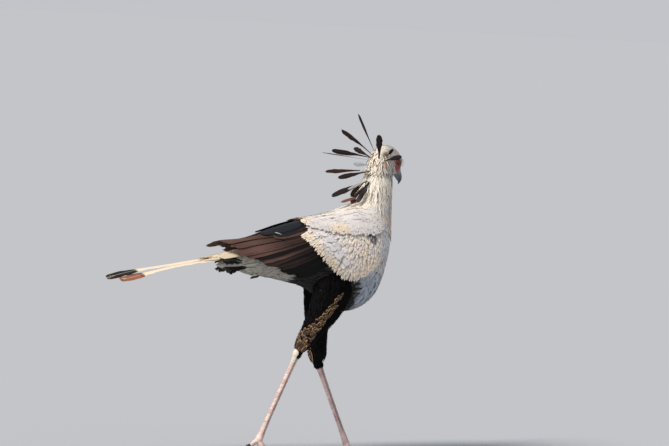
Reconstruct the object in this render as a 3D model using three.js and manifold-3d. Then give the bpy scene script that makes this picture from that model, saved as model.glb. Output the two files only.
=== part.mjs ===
// A secretary bird, life size, walking: still model, in millimetres.
// +Z is up, the bird faces +X and its right side is -Y.
// The ground is at Z = 0. Each part of the body is one closed solid, parted from its neighbours by thin gaps.
import * as THREE from "three";
import { mergeVertices } from "three/addons/utils/BufferGeometryUtils.js";
import Module from "manifold-3d";

const wasm = await Module();
wasm.setup();

const GAP = 0.3; // between parts that touch
const SIDES = 20; // of a ring round the body
const VANE = 0.6; // thickness of a feather's vane

// The body's cross-sections from the root of the tail to the breast:
// centre x and z, lean of the section's plane, half width, reach to the back and reach to the belly.
const TRUNK = [
  [-330, 628, 10, 34, 44, 48],
  [-265, 636, 6, 54, 62, 66],
  [-195, 644, 3, 71, 84, 86],
  [-120, 644, 2, 84, 104, 104],
  [-45, 638, 0, 90, 126, 138],
  [30, 635, 0, 91, 154, 172],
];
// The breast and neck turn up round a point behind the nape: angle above straight down,
// distance of the back and of the breast from that point, half width.
const NECK_PIVOT = [30, 890];
const NECK_RAYS = [
  [15, 94, 398, 85],
  [30, 90, 306, 71],
  [45, 79, 231, 55],
  [60, 68, 192, 46],
  [75, 65, 172, 41],
  [90, 67, 167, 37],
];
const NECK_TOP_RISE = 25; // the neck goes on straight up to the head
const NECK_CUT = 7; // station where the torso ends and the neck begins

// How much the folded wings and the mantle stand off the trunk at each station,
// and how they run on over the tail.
const COAT = [26, 22, 18, 18, 18, 18, 17, 12, 4, 0, 0, 0, 0];
const WING_REAR = [
  [-480, 650, 10, 40, 32, 48],
  [-405, 644, 10, 56, 48, 58],
];

const HEAD_AT = [180, 5, 957];
const HEAD_PITCH = 40;
const HEAD_YAW = 12;
const EYE_AT = [20, 22, 8];
const EYE_RADIUS = 10;

const TOE_BASE = { right: [-274, -46, 50], left: [104, 34, 14] };

const colours = {
  coat: 0xd9d3c6,
  wing: 0x6a6059,
  dark: 0x1c1a1b,
  tail: 0xcfc6b2,
  leg: 0xc9b3aa,
  horn: 0x59626b,
  claw: 0x2b2826,
  eye: 0x6b4a2c,
};
const finish = (colour, roughness) =>
  new THREE.MeshStandardMaterial({ color: colour, roughness, metalness: 0 });
const materials = {
  coat: finish(colours.coat, 0.9),
  wing: finish(colours.wing, 0.8),
  dark: finish(colours.dark, 0.85),
  tail: finish(colours.tail, 0.85),
  leg: finish(colours.leg, 0.6),
  horn: finish(colours.horn, 0.35),
  claw: finish(colours.claw, 0.4),
  eye: finish(colours.eye, 0.08),
};

const radians = THREE.MathUtils.degToRad;
const vector = (p) => new THREE.Vector3(...p);

// A three.js geometry as a closed solid, turned right side out.
function solid(geometry) {
  const bare = geometry.index ? geometry.toNonIndexed() : geometry.clone();
  bare.deleteAttribute("normal");
  bare.deleteAttribute("uv");
  const merged = mergeVertices(bare, 1e-4);
  const numbers = merged.index.array;
  const kept = [];
  for (let i = 0; i < numbers.length; i += 3) {
    const [a, b, c] = [numbers[i], numbers[i + 1], numbers[i + 2]];
    if (a !== b && b !== c && a !== c) kept.push(a, b, c);
  }
  const made = (triVerts) =>
    new wasm.Manifold(
      new wasm.Mesh({ numProp: 3, vertProperties: merged.attributes.position.array, triVerts }),
    );
  const body = made(new Uint32Array(kept));
  return body.volume() > 0 ? body : made(new Uint32Array(kept.reverse()));
}

// The largest closed surface of a solid, as a three.js geometry.
function geometryOf(body) {
  const largest = body.decompose().reduce((a, b) => (a.volume() > b.volume() ? a : b));
  const { vertProperties, triVerts, numProp } = largest.getMesh();
  const places = new Float32Array((vertProperties.length / numProp) * 3);
  for (let i = 0; i < places.length / 3; i++)
    for (let k = 0; k < 3; k++) places[3 * i + k] = vertProperties[numProp * i + k];
  const geometry = new THREE.BufferGeometry();
  geometry.setAttribute("position", new THREE.BufferAttribute(places, 3));
  geometry.setIndex(new THREE.BufferAttribute(new Uint32Array(triVerts), 1));
  geometry.computeVertexNormals();
  return geometry;
}

// Closed skin over a row of rings of equal count, with a fan over each end.
function loft(rings) {
  const count = rings[0].length;
  const places = rings.flat().flatMap((p) => [p.x, p.y, p.z]);
  const faces = [];
  for (let i = 0; i + 1 < rings.length; i++)
    for (let j = 0; j < count; j++) {
      const a = i * count + j;
      const b = i * count + ((j + 1) % count);
      faces.push(a, b, b + count, a, b + count, a + count);
    }
  for (const [at, turned] of [[0, true], [rings.length - 1, false]]) {
    const middle = rings[at].reduce((s, p) => s.add(p), new THREE.Vector3()).divideScalar(count);
    const centre = places.length / 3;
    places.push(middle.x, middle.y, middle.z);
    for (let j = 0; j < count; j++) {
      const a = at * count + j;
      const b = at * count + ((j + 1) % count);
      faces.push(...(turned ? [centre, b, a] : [centre, a, b]));
    }
  }
  const geometry = new THREE.BufferGeometry();
  geometry.setAttribute("position", new THREE.Float32BufferAttribute(places, 3));
  geometry.setIndex(faces);
  return geometry;
}

// A value read smoothly between the rows of a table.
function between(rows, s) {
  const i = Math.min(Math.max(Math.floor(s), 0), rows.length - 2);
  const t = s - i;
  const row = (k) => rows[Math.min(Math.max(k, 0), rows.length - 1)];
  return rows[0].map((_, c) => {
    const [a, b, d, e] = [row(i - 1)[c], row(i)[c], row(i + 1)[c], row(i + 2)[c]];
    return b + 0.5 * t * (d - a + t * (2 * a - 5 * b + 4 * d - e + t * (3 * (b - d) + e - a)));
  });
}

const neckStations = NECK_RAYS.map(([angle, inner, outer, side]) => {
  const middle = (inner + outer) / 2;
  const reach = (outer - inner) / 2;
  const turn = radians(angle);
  const x = NECK_PIVOT[0] + middle * Math.sin(turn);
  return [x, NECK_PIVOT[1] - middle * Math.cos(turn), angle, side, reach, reach];
});
const last = neckStations[neckStations.length - 1];
neckStations.push([last[0] + 2, last[1] + NECK_TOP_RISE, 90, last[3] - 2, last[4] - 2, last[5] - 2]);
const BODY = [...TRUNK, ...neckStations];
const COATED = [
  ...WING_REAR,
  ...BODY.map(([x, z, lean, side, up, down], i) => [
    x, z, lean, side + COAT[i], up + COAT[i], down + COAT[i] * 0.6,
  ]),
];

// A point of the body at station s and angle a round it, grown outwards and moved along by a shift.
function onBody(rows, s, a, grow = 0, shift = 0) {
  const [x, z, lean, side, up, down] = between(rows, s);
  const [c, n] = [Math.cos(a), Math.sin(a)];
  const rise = ((n > 0 ? up : down) + grow) * n;
  const turn = radians(lean);
  return new THREE.Vector3(
    x - Math.sin(turn) * rise + Math.cos(turn) * shift,
    (side + grow) * c,
    z + Math.cos(turn) * rise + Math.sin(turn) * shift,
  );
}

const RINGS_A_STATION = 2;
function bodyLength(rows, from, to, grow = 0, [startShift, endShift] = [0, 0]) {
  const rings = [];
  const steps = Math.round((to - from) * RINGS_A_STATION);
  for (let i = 0; i <= steps; i++) {
    const shift = i === 0 ? startShift : i === steps ? endShift : 0;
    const s = from + ((to - from) * i) / steps;
    rings.push(
      Array.from({ length: SIDES }, (_, k) => onBody(rows, s, (2 * Math.PI * k) / SIDES, grow, shift)),
    );
  }
  return solid(loft(rings));
}

// A limb along a row of stations: place, half thickness fore and aft, half thickness to the sides.
function limb(stations, sides = 12) {
  const points = stations.map(([place]) => vector(place));
  const rings = stations.map(([, fore, aside], i) => {
    const along = points[Math.min(i + 1, points.length - 1)]
      .clone()
      .sub(points[Math.max(i - 1, 0)])
      .normalize();
    const lateral = new THREE.Vector3(0, 1, 0);
    if (Math.abs(along.y) > 0.8) lateral.set(0, 0, 1);
    lateral.addScaledVector(along, -lateral.dot(along)).normalize();
    const front = lateral.clone().cross(along);
    return Array.from({ length: sides }, (_, k) => {
      const a = (2 * Math.PI * (k + 0.5)) / sides;
      return points[i]
        .clone()
        .addScaledVector(front, fore * Math.cos(a))
        .addScaledVector(lateral, aside * Math.sin(a));
    });
  });
  return solid(loft(rings));
}

// A slab across the bird with an outline drawn in side view, from one y to another.
function sideSlab(outline, yFrom, yTo) {
  const shape = new THREE.Shape(outline.map(([x, z]) => new THREE.Vector2(x, z)));
  const slab = new THREE.ExtrudeGeometry(shape, { depth: yTo - yFrom, bevelEnabled: false });
  return solid(slab.rotateX(Math.PI / 2).translate(0, yTo, 0));
}

// What lies beyond a plane through a point, on the side that a direction points to.
function beyond(body, point, direction) {
  const [p, d] = [vector(point), vector(direction).normalize()];
  return body.trimByPlane(d.toArray(), p.dot(d));
}

const mirrored = (body) => {
  const copy = geometryOf(body);
  copy.scale(1, -1, 1);
  return solid(copy);
};

const join = (bodies) => wasm.Manifold.union(bodies);

// The point that lies at x, z in side view on the right side of the coat, lifted off it.
function onFlank(x, z, lift) {
  let [low, high] = [0, COATED.length - 1];
  for (let i = 0; i < 24; i++) {
    const s = (low + high) / 2;
    const [cx, cz, lean] = between(COATED, s);
    const turn = radians(lean);
    if ((x - cx) * Math.cos(turn) + (z - cz) * Math.sin(turn) > 0) low = s;
    else high = s;
  }
  const [cx, cz, lean, , up, down] = between(COATED, low);
  const turn = radians(lean);
  const rise = (z - cz) * Math.cos(turn) - (x - cx) * Math.sin(turn);
  const sine = THREE.MathUtils.clamp(rise / ((rise > 0 ? up : down) + lift), -0.97, 0.97);
  return onBody(COATED, low, Math.PI - Math.asin(sine), lift);
}

// A thin closed sheet through rows of points, with its two faces split into triangles alike.
function sheet(rows, thickness) {
  const [deep, wide] = [rows.length, rows[0].length];
  const row = (r) => rows[THREE.MathUtils.clamp(r, 0, deep - 1)];
  const at = (r, c) => row(r)[THREE.MathUtils.clamp(c, 0, wide - 1)];
  const faces = [];
  const places = [];
  for (const side of [0.5, -0.5])
    for (let r = 0; r < deep; r++)
      for (let c = 0; c < wide; c++) {
        const down = at(r + 1, c).clone().sub(at(r - 1, c));
        const across = at(r, c + 1).clone().sub(at(r, c - 1));
        const normal = down.cross(across).normalize();
        const p = at(r, c).clone().addScaledVector(normal, side * thickness);
        places.push(p.x, p.y, p.z);
      }
  const under = deep * wide;
  const quad = (a, b, c, d) => faces.push(a, b, c, a, c, d);
  for (let r = 0; r + 1 < deep; r++)
    for (let c = 0; c + 1 < wide; c++) {
      const [a, b, d, e] = [r * wide + c, r * wide + c + 1, (r + 1) * wide + c + 1, (r + 1) * wide + c];
      faces.push(a, b, d, a, d, e, under + a, under + d, under + b, under + a, under + e, under + d);
    }
  for (let r = 0; r + 1 < deep; r++) {
    const [a, b] = [r * wide, (r + 1) * wide];
    quad(a, b, under + b, under + a);
    quad(b + wide - 1, a + wide - 1, under + a + wide - 1, under + b + wide - 1);
  }
  for (let c = 0; c + 1 < wide; c++) {
    const [a, b] = [c, (deep - 1) * wide + c];
    quad(a + 1, a, under + a, under + a + 1);
    quad(b, b + 1, under + b + 1, under + b);
  }
  const geometry = new THREE.BufferGeometry();
  geometry.setAttribute("position", new THREE.Float32BufferAttribute(places, 3));
  geometry.setIndex(faces);
  return solid(geometry);
}

// Outlines of feathers: share of the length, share of the half width.
const BROAD = [[0, 0.4], [0.35, 0.95], [0.72, 1], [0.92, 0.75], [1, 0.22]];
const SHORT = [[0, 0.5], [0.5, 1], [0.84, 0.85], [1, 0.3]];
const SPOON = [[0, 0.14], [0.35, 0.28], [0.6, 0.7], [0.82, 1], [0.95, 0.7], [1, 0.2]];

// A feather that lies on the folded wing, from its root to its tip in side view,
// tilted across by a rise at one edge.
function flankFeather(root, tip, half, lifts, outline, columns, tilt = 0) {
  const [dx, dz] = [tip[0] - root[0], tip[1] - root[1]];
  const length = Math.hypot(dx, dz);
  const rows = outline.map(([t, share]) =>
    columns.map((u) => {
      const aside = (u * half * share) / length;
      const lift = THREE.MathUtils.lerp(lifts[0], lifts[1], t) + tilt * u * share;
      return onFlank(root[0] + dx * t - dz * aside, root[1] + dz * t + dx * aside, lift);
    }),
  );
  return sheet(rows, VANE);
}

// A feather that stands free, with its flat side turned towards a given direction, and bent.
function freeFeather(root, tip, face, half, outline, bend = 0) {
  const along = tip.clone().sub(root);
  const across = face.clone().cross(along).normalize();
  const out = along.clone().cross(across).normalize();
  const rows = outline.map(([t, share]) =>
    [-1, 1].map((u) =>
      root
        .clone()
        .addScaledVector(along, t)
        .addScaledVector(across, u * half * share)
        .addScaledVector(out, bend * Math.sin(Math.PI * t)),
    ),
  );
  return sheet(rows, VANE);
}

const bird = new THREE.Group();
function part(name, body, material, parent = bird) {
  const mesh = new THREE.Mesh(body.isBufferGeometry ? body : geometryOf(body), material);
  mesh.name = name;
  parent.add(mesh);
  return mesh;
}

// Torso with the mantle, the pale cape of back feathers that covers the top of both wings.
const trunk = bodyLength(BODY, 0, NECK_CUT);
const trunkClear = bodyLength(BODY, 0, NECK_CUT + 1, GAP, [-GAP, 0]);
const coat = bodyLength(COATED, 2, NECK_CUT + 2);
const MANTLE_EDGE = [[-176, 758], [-123, 737], [-60, 726], [32, 722], [106, 726], [150, 745]];
const mantleShape = (gap) => [
  [MANTLE_EDGE[0][0] - gap, MANTLE_EDGE[0][1] - gap],
  ...MANTLE_EDGE.slice(1).map(([x, z]) => [x, z - gap]),
  [150, 910],
  [MANTLE_EDGE[0][0] - gap, 900],
];
const mantleSlab = sideSlab(mantleShape(0), -150, 150);
const mantleClear = sideSlab(mantleShape(GAP), -150, 150);
// Scapulars: feathers of the shoulder that hang from the mantle's edge over the top of the wing.
// Each row has its count of feathers, where it starts and ends along the edge, how far inwards its tips lie,
// and the length and half width of its feathers; the lay is their direction along the edge, in degrees.
const SCAPULAR_ROWS = [
  { count: 7, ends: [0.16, 0.84], inwards: -12, length: 54, half: 21 },
  { count: 5, ends: [0.33, 0.84], inwards: 19, length: 46, half: 20 },
];
const SCAPULAR_LAY = [202, 204, 210, 218, 226, 232];
const SCAPULAR_LIFTS = [-3.5, 8.5]; // of root and tip, so that each tier lies over the next
const TILT = 1; // one edge of each feather rises over the next by this, and the other edge sinks

// Where a share of a line's length is reached, counted in its points.
function stationOf(line, share) {
  const steps = line.slice(1).map(([x, z], i) => Math.hypot(x - line[i][0], z - line[i][1]));
  let left = share * steps.reduce((a, b) => a + b);
  let i = 0;
  while (i < steps.length - 1 && left > steps[i]) left -= steps[i++];
  return i + left / steps[i];
}

// A row of short feathers along an edge.
function tier(edge, lays, { count, ends, inwards, length, half }, lifts) {
  return Array.from({ length: count }, (_, i) => {
    const s = stationOf(edge, THREE.MathUtils.lerp(...ends, (i + 0.5) / count));
    const [x, z] = between(edge, s);
    const lay = radians(between(lays.map((a) => [a]), s)[0]);
    const [dx, dz] = [Math.cos(lay), Math.sin(lay)];
    const tip = [x - dx * inwards, z - dz * inwards];
    const root = [tip[0] - dx * length, tip[1] - dz * length];
    return flankFeather(root, tip, half, lifts, SHORT, [-1, 1], TILT);
  });
}
const scapulars = SCAPULAR_ROWS.flatMap((row) => tier(MANTLE_EDGE, SCAPULAR_LAY, row, SCAPULAR_LIFTS));
const mantle = coat.intersect(mantleSlab);
part("torso", join([trunk, mantle, ...scapulars, ...scapulars.map(mirrored)]), materials.coat);

const neck = bodyLength(BODY, NECK_CUT, BODY.length - 1, 0, [GAP, 0]);

// Wings: folded on the flank, a core under tiers of pale coverts,
// with the dark flight feathers fanned out behind.
const COVERT_EDGE = [
  [-176, 712], [-147, 681], [-110, 640], [-64, 601], [-27, 575], [4, 568], [38, 575], [72, 595],
  [112, 629], [142, 655],
];
const WING_CORE = [...COVERT_EDGE, [153, 700], [152, 760], [-176, 768], [-232, 744], [-212, 706]];
const WING_INNER = 12; // the two wings stay this far from the middle line
const COVERT_LAY = [200, 214, 226, 238, 248, 256, 262, 264, 262, 258]; // at each point of that edge
const COVERT_LIFTS = [-3.5, 5];
const COVERT_ROWS = [
  { count: 12, ends: [0.01, 1], inwards: -9, length: 54, half: 19 },
  { count: 9, ends: [0.06, 0.97], inwards: 21, length: 48, half: 19.5 },
  { count: 6, ends: [0.2, 0.9], inwards: 50, length: 42, half: 19.5 },
];
const coverts = COVERT_ROWS.flatMap((row) => tier(COVERT_EDGE, COVERT_LAY, row, COVERT_LIFTS));

// Flight feathers from the uppermost, whose tip lies farthest back, to the lowest.
const FLIGHT_ROOTS = [[-140, 742], [-48, 652]];
const FLIGHT_TIPS = [
  [-455, 680], [-420, 668], [-384, 652], [-348, 634], [-316, 621], [-286, 611], [-256, 600], [-227, 592],
  [-198, 586], [-168, 580],
];
const FLIGHT_HALF = [17, 22];
const FLIGHT_LIFTS = [-1.8, -11];
const FLIGHT_TILT = 3;
const flight = FLIGHT_TIPS.map((tip, i) => {
  const t = i / (FLIGHT_TIPS.length - 1);
  const root = FLIGHT_ROOTS[0].map((v, k) => THREE.MathUtils.lerp(v, FLIGHT_ROOTS[1][k], t));
  const half = THREE.MathUtils.lerp(...FLIGHT_HALF, t);
  const lift = THREE.MathUtils.lerp(...FLIGHT_LIFTS, t);
  return flankFeather(root, tip, half, [lift, lift], BROAD, [-1, 0, 1], FLIGHT_TILT);
});
// Tertials: broad black feathers over the top of the fan, from under the mantle.
const TERTIALS = [
  { root: [-150, 756], tip: [-352, 700], half: 19, lift: 2.6 },
  { root: [-150, 742], tip: [-326, 686], half: 20, lift: 1 },
];
const tertials = TERTIALS.map(({ root, tip, half, lift }) =>
  flankFeather(root, tip, half, [-3, lift], BROAD, [-1, 0, 1], FLIGHT_TILT),
);
const wingCoat = bodyLength(COATED, 0, NECK_CUT + 2);
const wingCore = wingCoat.intersect(sideSlab(WING_CORE, -150, -WING_INNER));
const wing = join([wingCore, ...coverts, ...flight, ...tertials]);

// Tail: coverts round its root and the feathers, with two long ones in the middle.
const TAIL_ROOT = [
  [[-322, 0, 628], 46, 35],
  [[-350, 0, 623], 40, 36],
  [[-385, 0, 615], 31, 34],
  [[-415, 0, 608], 18, 28],
  [[-436, 0, 606], 7, 20],
];
const RECTRICES = [
  { tips: [[-851, -9, 561], [-818, 12, 553]], half: 21, turn: 17, bend: 8 },
  { tips: [[-512, -21, 606], [-498, 21, 605]], half: 20, turn: 22, bend: 0 },
  { tips: [[-488, -24, 605], [-480, 24, 604]], half: 20, turn: 27, bend: 0 },
  { tips: [[-470, -27, 603], [-466, 27, 603]], half: 19, turn: 32, bend: 0 },
  { tips: [[-450, -30, 600], [-447, 30, 600]], half: 18, turn: 38, bend: 0 },
];
const TAIL_LAYER = 2.4; // each pair lies this far below the last
const rectrices = RECTRICES.flatMap(({ tips, half, turn, bend }, pair) =>
  tips.map((tip, k) => {
    const side = k === 0 ? -1 : 1;
    const z = 626 - TAIL_LAYER * pair;
    const face = new THREE.Vector3(0, side * Math.sin(radians(turn)), Math.cos(radians(turn)));
    const root = new THREE.Vector3(-330, side * (half * Math.cos(radians(turn)) + 1), z);
    return freeFeather(root, vector(tip), face, half, BROAD, bend);
  }),
);
// Tail coverts, above and below; those below are long, with black tips.
const TAIL_COVERTS = [
  { count: 3, rootZ: 663, rootX: -324, tipX: -398, tipZ: 646, spread: 20, half: 15, down: 14 },
  { count: 3, rootZ: 650, rootX: -350, tipX: -440, tipZ: 628, spread: 15, half: 14, down: 8 },
  { count: 4, rootZ: 584, rootX: -324, tipX: -398, tipZ: 578, spread: 28, half: 15, down: -14 },
  { count: 3, rootZ: 588, rootX: -350, tipX: -436, tipZ: 584, spread: 20, half: 15, down: -10 },
];
const tailCoverts = TAIL_COVERTS.flatMap(({ count, rootZ, rootX, tipX, tipZ, spread, half, down }) =>
  Array.from({ length: count }, (_, i) => {
    const u = (2 * i) / (count - 1) - 1;
    const root = new THREE.Vector3(rootX, u * spread * 0.7, rootZ - down * u * u);
    const tip = new THREE.Vector3(tipX + 22 * u * u, u * spread, tipZ - down * u * u);
    const face = new THREE.Vector3(0, u, Math.sign(down));
    return freeFeather(root, tip, face, half, SHORT);
  }),
);
const TAIL_SIDES = 14;
const tail = join([limb(TAIL_ROOT, TAIL_SIDES), ...rectrices, ...tailCoverts]).subtract(trunkClear);
const TAIL_ROOM = 8; // between the root of the tail with its coverts and the wings
const widerRoot = TAIL_ROOT.map(([p, fore, aside]) => [p, fore + TAIL_ROOM, aside + TAIL_ROOM]);
const tailClear = limb(widerRoot, TAIL_SIDES);
part("tail", tail, materials.tail);
const clearOfBody = (body) => body.subtract(trunkClear).subtract(mantleClear).subtract(tailClear);
part("wing_right", clearOfBody(wing), materials.wing);
part("wing_left", clearOfBody(mirrored(wing)), materials.wing);

// Crest: long black spoon-shaped feathers from the nape, blown up and forward by the wind. Each has its root,
// its tip, half its width, how far its flat side is turned from the bird's side, and its bend.
const CREST = {
  head: [
    [[130, 5, 983], [68, 25, 1111], 9, 60, 4],
    [[108, 2, 982], [-5, 0, 1055], 11, 50, 5],
    [[103, -5, 962], [-53, -20, 987], 12, 50, 6],
    [[104, 9, 966], [76, 60, 998], 11, 20, -4],
    [[103, 16, 950], [-31, 70, 975], 11, 35, 6],
    [[103, -9, 946], [31, -34, 948], 9, 30, 3],
    [[102, 3, 936], [-68, -10, 917], 12, 55, 6],
    [[101, -12, 928], [-33, -52, 900], 12, 45, 5],
    [[133, -27, 968], [113, -50, 1046], 11, 20, 3],
    [[160, -29, 972], [171, -48, 1001], 5, 20, -4],
    [[148, -32, 960], [197, -60, 974], 9, 25, 3],
  ],
  neck: [
    [[104, -12, 895], [-39, -20, 837], 13, 40, 6],
    [[104, -16, 890], [15, -45, 830], 14, 20, 5],
    [[103, -20, 880], [28, -32, 811], 13, 30, 4],
    [[104, 12, 885], [64, 34, 826], 13, 25, -4],
    [[98, -20, 850], [42, -50, 836], 10, 20, 3],
  ],
};
const CREST_SUNK = 16; // of each root in the nape
const crestOn = (node) =>
  CREST[node].map(([from, to, half, turn, bend]) => {
    const [root, tip] = [vector(from), vector(to)];
    const along = tip.clone().sub(root).normalize();
    const face = new THREE.Vector3(0, -1, 0).applyAxisAngle(along, radians(turn));
    return freeFeather(root.addScaledVector(along, -CREST_SUNK), tip, face, half, SPOON, bend);
  });
const neckClear = bodyLength(BODY, NECK_CUT, BODY.length - 1, GAP, [0, GAP]);
part("neck", join([neck, ...crestOn("neck")]), materials.coat);

// Head, in its own frame: +x along the bill, +z to the crown, turned and bent down on the neck.
const headFrame = new THREE.Group();
headFrame.position.set(...HEAD_AT);
headFrame.rotation.set(0, radians(HEAD_PITCH), radians(HEAD_YAW), "ZYX");
headFrame.updateMatrix();
bird.add(headFrame);
const intoHead = headFrame.matrix.clone().invert();
const inHeadFrame = (body) => solid(geometryOf(body).applyMatrix4(intoHead));
const SKULL = [
  [-60, 7, 8, 10],
  [-52, 20, 22, 24],
  [-38, 29, 32, 34],
  [-20, 33, 40, 39],
  [0, 34, 42, 39],
  [18, 31, 39, 34],
  [34, 24, 34, 27],
  [46, 17, 25, 20],
  [56, 12.5, 15, 15.5],
];
const BILL_ROOT = 56;
const HEAD_SIDES = 18;
const headRings = SKULL.map(([x, side, up, down]) =>
  Array.from({ length: HEAD_SIDES }, (_, k) => {
    const a = (2 * Math.PI * k) / HEAD_SIDES;
    const reach = Math.sin(a) > 0 ? up : down;
    return new THREE.Vector3(x, side * Math.cos(a), reach * Math.sin(a));
  }),
);
// The nape: the neck's feathers run on up to the back of the head.
const top = BODY[BODY.length - 1];
const NAPE = [
  [[top[0], 0, top[1]], top[4], top[3]],
  [[152, 1, 938], 46, 35],
  [[156, 2, 958], 42, 33],
  [[161, 3, 976], 33, 28],
  [[166, 4, 988], 16, 16],
];
const nape = inHeadFrame(limb(NAPE, HEAD_SIDES));
const eyeHole = (side) =>
  solid(new THREE.SphereGeometry(EYE_RADIUS + GAP, 12, 8).translate(EYE_AT[0], side * EYE_AT[1], EYE_AT[2]));
const lids = (side) =>
  solid(
    new THREE.TorusGeometry(EYE_RADIUS - 0.6, 2.2, 5, 14)
      .scale(1.12, 0.86, 1)
      .rotateX(Math.PI / 2)
      .translate(EYE_AT[0], side * (EYE_AT[1] + 6.5), EYE_AT[2]),
  );
// A ridge of the brow over each eye, nostril slits in the cere, and the line of the mouth back to the gape.
const brow = (side) =>
  limb(
    [
      [[4, side * 27, 17], 2, 4],
      [[14, side * 28, 20], 3.5, 5],
      [[26, side * 25, 19.5], 3.5, 5],
      [[38, side * 18, 15], 2, 4],
    ],
    8,
  );
const nostril = (side) =>
  solid(new THREE.SphereGeometry(3, 8, 5).scale(1.5, 0.6, 0.55).translate(50.5, side * 14.2, 6.5));
const gape = (side) => {
  const outer = [side * 9, side * 40].sort((a, b) => a - b);
  return sideSlab([[32, -6], [58, -6.5], [58, -7.3], [32, -6.6]], ...outer);
};
const eachSide = (make) => [make(1), make(-1)];
const bareHead = join([
  solid(loft(headRings)),
  nape,
  ...eachSide(lids),
  ...eachSide(brow),
  ...crestOn("head").map(inHeadFrame),
]);
const hollows = join([inHeadFrame(neckClear), ...[eyeHole, nostril, gape].flatMap(eachSide)]);
const head = bareHead.subtract(hollows);
part("head", head, materials.coat, headFrame);
for (const [name, side] of [["eye_left", 1], ["eye_right", -1]]) {
  const eye = part(name, new THREE.SphereGeometry(EYE_RADIUS, 12, 8), materials.eye, headFrame);
  eye.position.set(EYE_AT[0], side * EYE_AT[1], EYE_AT[2]);
}

// Bill: hooked, horn on a bony root, parted along the line of the mouth.
const BILL_UPPER = [
  [[50, 0, 0], 14.6, 12.8],
  [[58, 0, -0.6], 14, 12],
  [[66, 0, -1.8], 13, 10],
  [[76, 0, -4], 10.5, 7.5],
  [[84, 0, -10], 7.5, 5],
  [[88, 0, -18], 3.5, 2.6],
  [[89, 0, -25], 0.8, 0.7],
];
const BILL_LOWER = [
  [[50, 0, -7], 9, 11],
  [[66, 0, -10], 6.5, 8.5],
  [[76, 0, -14], 4, 5.5],
  [[81, 0, -17], 1.5, 2.5],
];
const MOUTH = [[50, -6.5], [66, -8], [76, -11.5], [82, -17]];
const underMouth = (gap) =>
  sideSlab([...MOUTH.map(([x, z]) => [x - gap, z - gap]), [82 - gap, -40], [50, -40]], -30, 30);
const fromRoot = (body) => beyond(body, [BILL_ROOT + GAP, 0, 0], [1, 0, 0]);
const upper = fromRoot(limb(BILL_UPPER, 14)).subtract(underMouth(0));
part("bill_upper", upper, materials.horn, headFrame);
const lower = fromRoot(limb(BILL_LOWER, 12)).intersect(underMouth(GAP));
part("bill_lower", lower, materials.horn, headFrame);

// Legs: black feathered thighs, bare shanks, short toes with blunt claws.
const THIGH = {
  right: [
    [[-20, -46, 595], 66, 40],
    [[-28, -50, 555], 72, 42],
    [[-42, -53, 510], 66, 40],
    [[-70, -54, 455], 52, 35],
    [[-101, -53, 408], 38, 28],
    [[-124, -52, 372], 29, 23],
    [[-143, -51, 344], 21, 19],
    [[-150, -50.5, 332], 15, 14.5],
  ],
  left: [
    [[-10, 46, 595], 66, 40],
    [[-12, 50, 555], 70, 42],
    [[-16, 52, 510], 62, 40],
    [[-22, 52, 455], 50, 35],
    [[-24, 50, 400], 38, 30],
    [[-23, 47, 350], 33, 26],
    [[-21, 44, 310], 30, 23],
    [[-19, 43, 290], 24, 20],
  ],
};
const wingClear = bodyLength(COATED, 0, NECK_CUT + 2, GAP);
for (const side of ["right", "left"]) {
  const clear = wingClear.intersect(
    side === "right"
      ? sideSlab(WING_CORE.map(([x, z]) => [x, z - 2 * GAP]), -150, -WING_INNER)
      : sideSlab(WING_CORE.map(([x, z]) => [x, z - 2 * GAP]), WING_INNER, 150),
  );
  const thigh = limb(THIGH[side], 14).subtract(trunkClear).subtract(clear);
  part("thigh_" + side, thigh, materials.dark);
}

// Shanks, from inside the feathers of the thigh to the ball of the foot.
const SHANK = [
  [0, 14, 12],
  [0.05, 15, 12.5],
  [0.12, 10.5, 9.5],
  [0.3, 9, 8],
  [0.75, 8.5, 7.5],
  [0.92, 10, 9.5],
  [1, 11, 11],
];
const BALL = 12; // of the foot, between shank and toes
const shankEnds = (side) => {
  const from = vector(THIGH[side].at(-1)[0]);
  const to = vector(TOE_BASE[side]);
  const along = to.clone().sub(from).normalize();
  return [from, to.addScaledVector(along, -BALL), along];
};
for (const side of ["right", "left"]) {
  const [from, to, along] = shankEnds(side);
  const start = from.clone().addScaledVector(along, -8);
  const shank = SHANK.map(([t, fore, aside]) => [start.clone().lerp(to, t).toArray(), fore, aside]);
  const thighEnd = vector(THIGH[side].at(-1)[0]).sub(vector(THIGH[side].at(-2)[0])).normalize();
  const face = from.addScaledVector(thighEnd, GAP);
  part("tarsus_" + side, beyond(limb(shank, 12), face.toArray(), thighEnd.toArray()), materials.leg);
}

// Feet: three toes forward and one back, on small flat pads, each with a short blunt claw.
const TOES = [
  ["middle", 0, 62],
  ["inner", 36, 44],
  ["outer", -34, 46],
  ["hind", 168, 26],
];
const FOOT_SIDES = 8;
const TOE_THICKNESS = [9, 8.6, 8, 7.2, 5.4];
const TOE_HEIGHTS = {
  right: [[0, 50], [0.18, 31], [0.42, 10], [0.7, 6.2], [1, 4.8]],
  left: [[0, 14], [0.18, 9.6], [0.42, 7], [0.7, 6.2], [1, 4.8]],
};
const HIND_HEIGHTS = {
  right: [[0, 48], [0.25, 44.5], [0.5, 40.5], [0.75, 35.5], [1, 29]],
  left: [[0, 12], [0.25, 8.4], [0.5, 7], [0.75, 6.2], [1, 4.8]],
};
const FOOT_YAW = { right: -6, left: 4 };
const CLAW = [
  [-3, 0, 4.6, 4],
  [6, 1.2, 4.2, 3.6],
  [12, -0.4, 2.8, 2.4],
  [16, -3.4, 0.9, 0.8],
];
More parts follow.
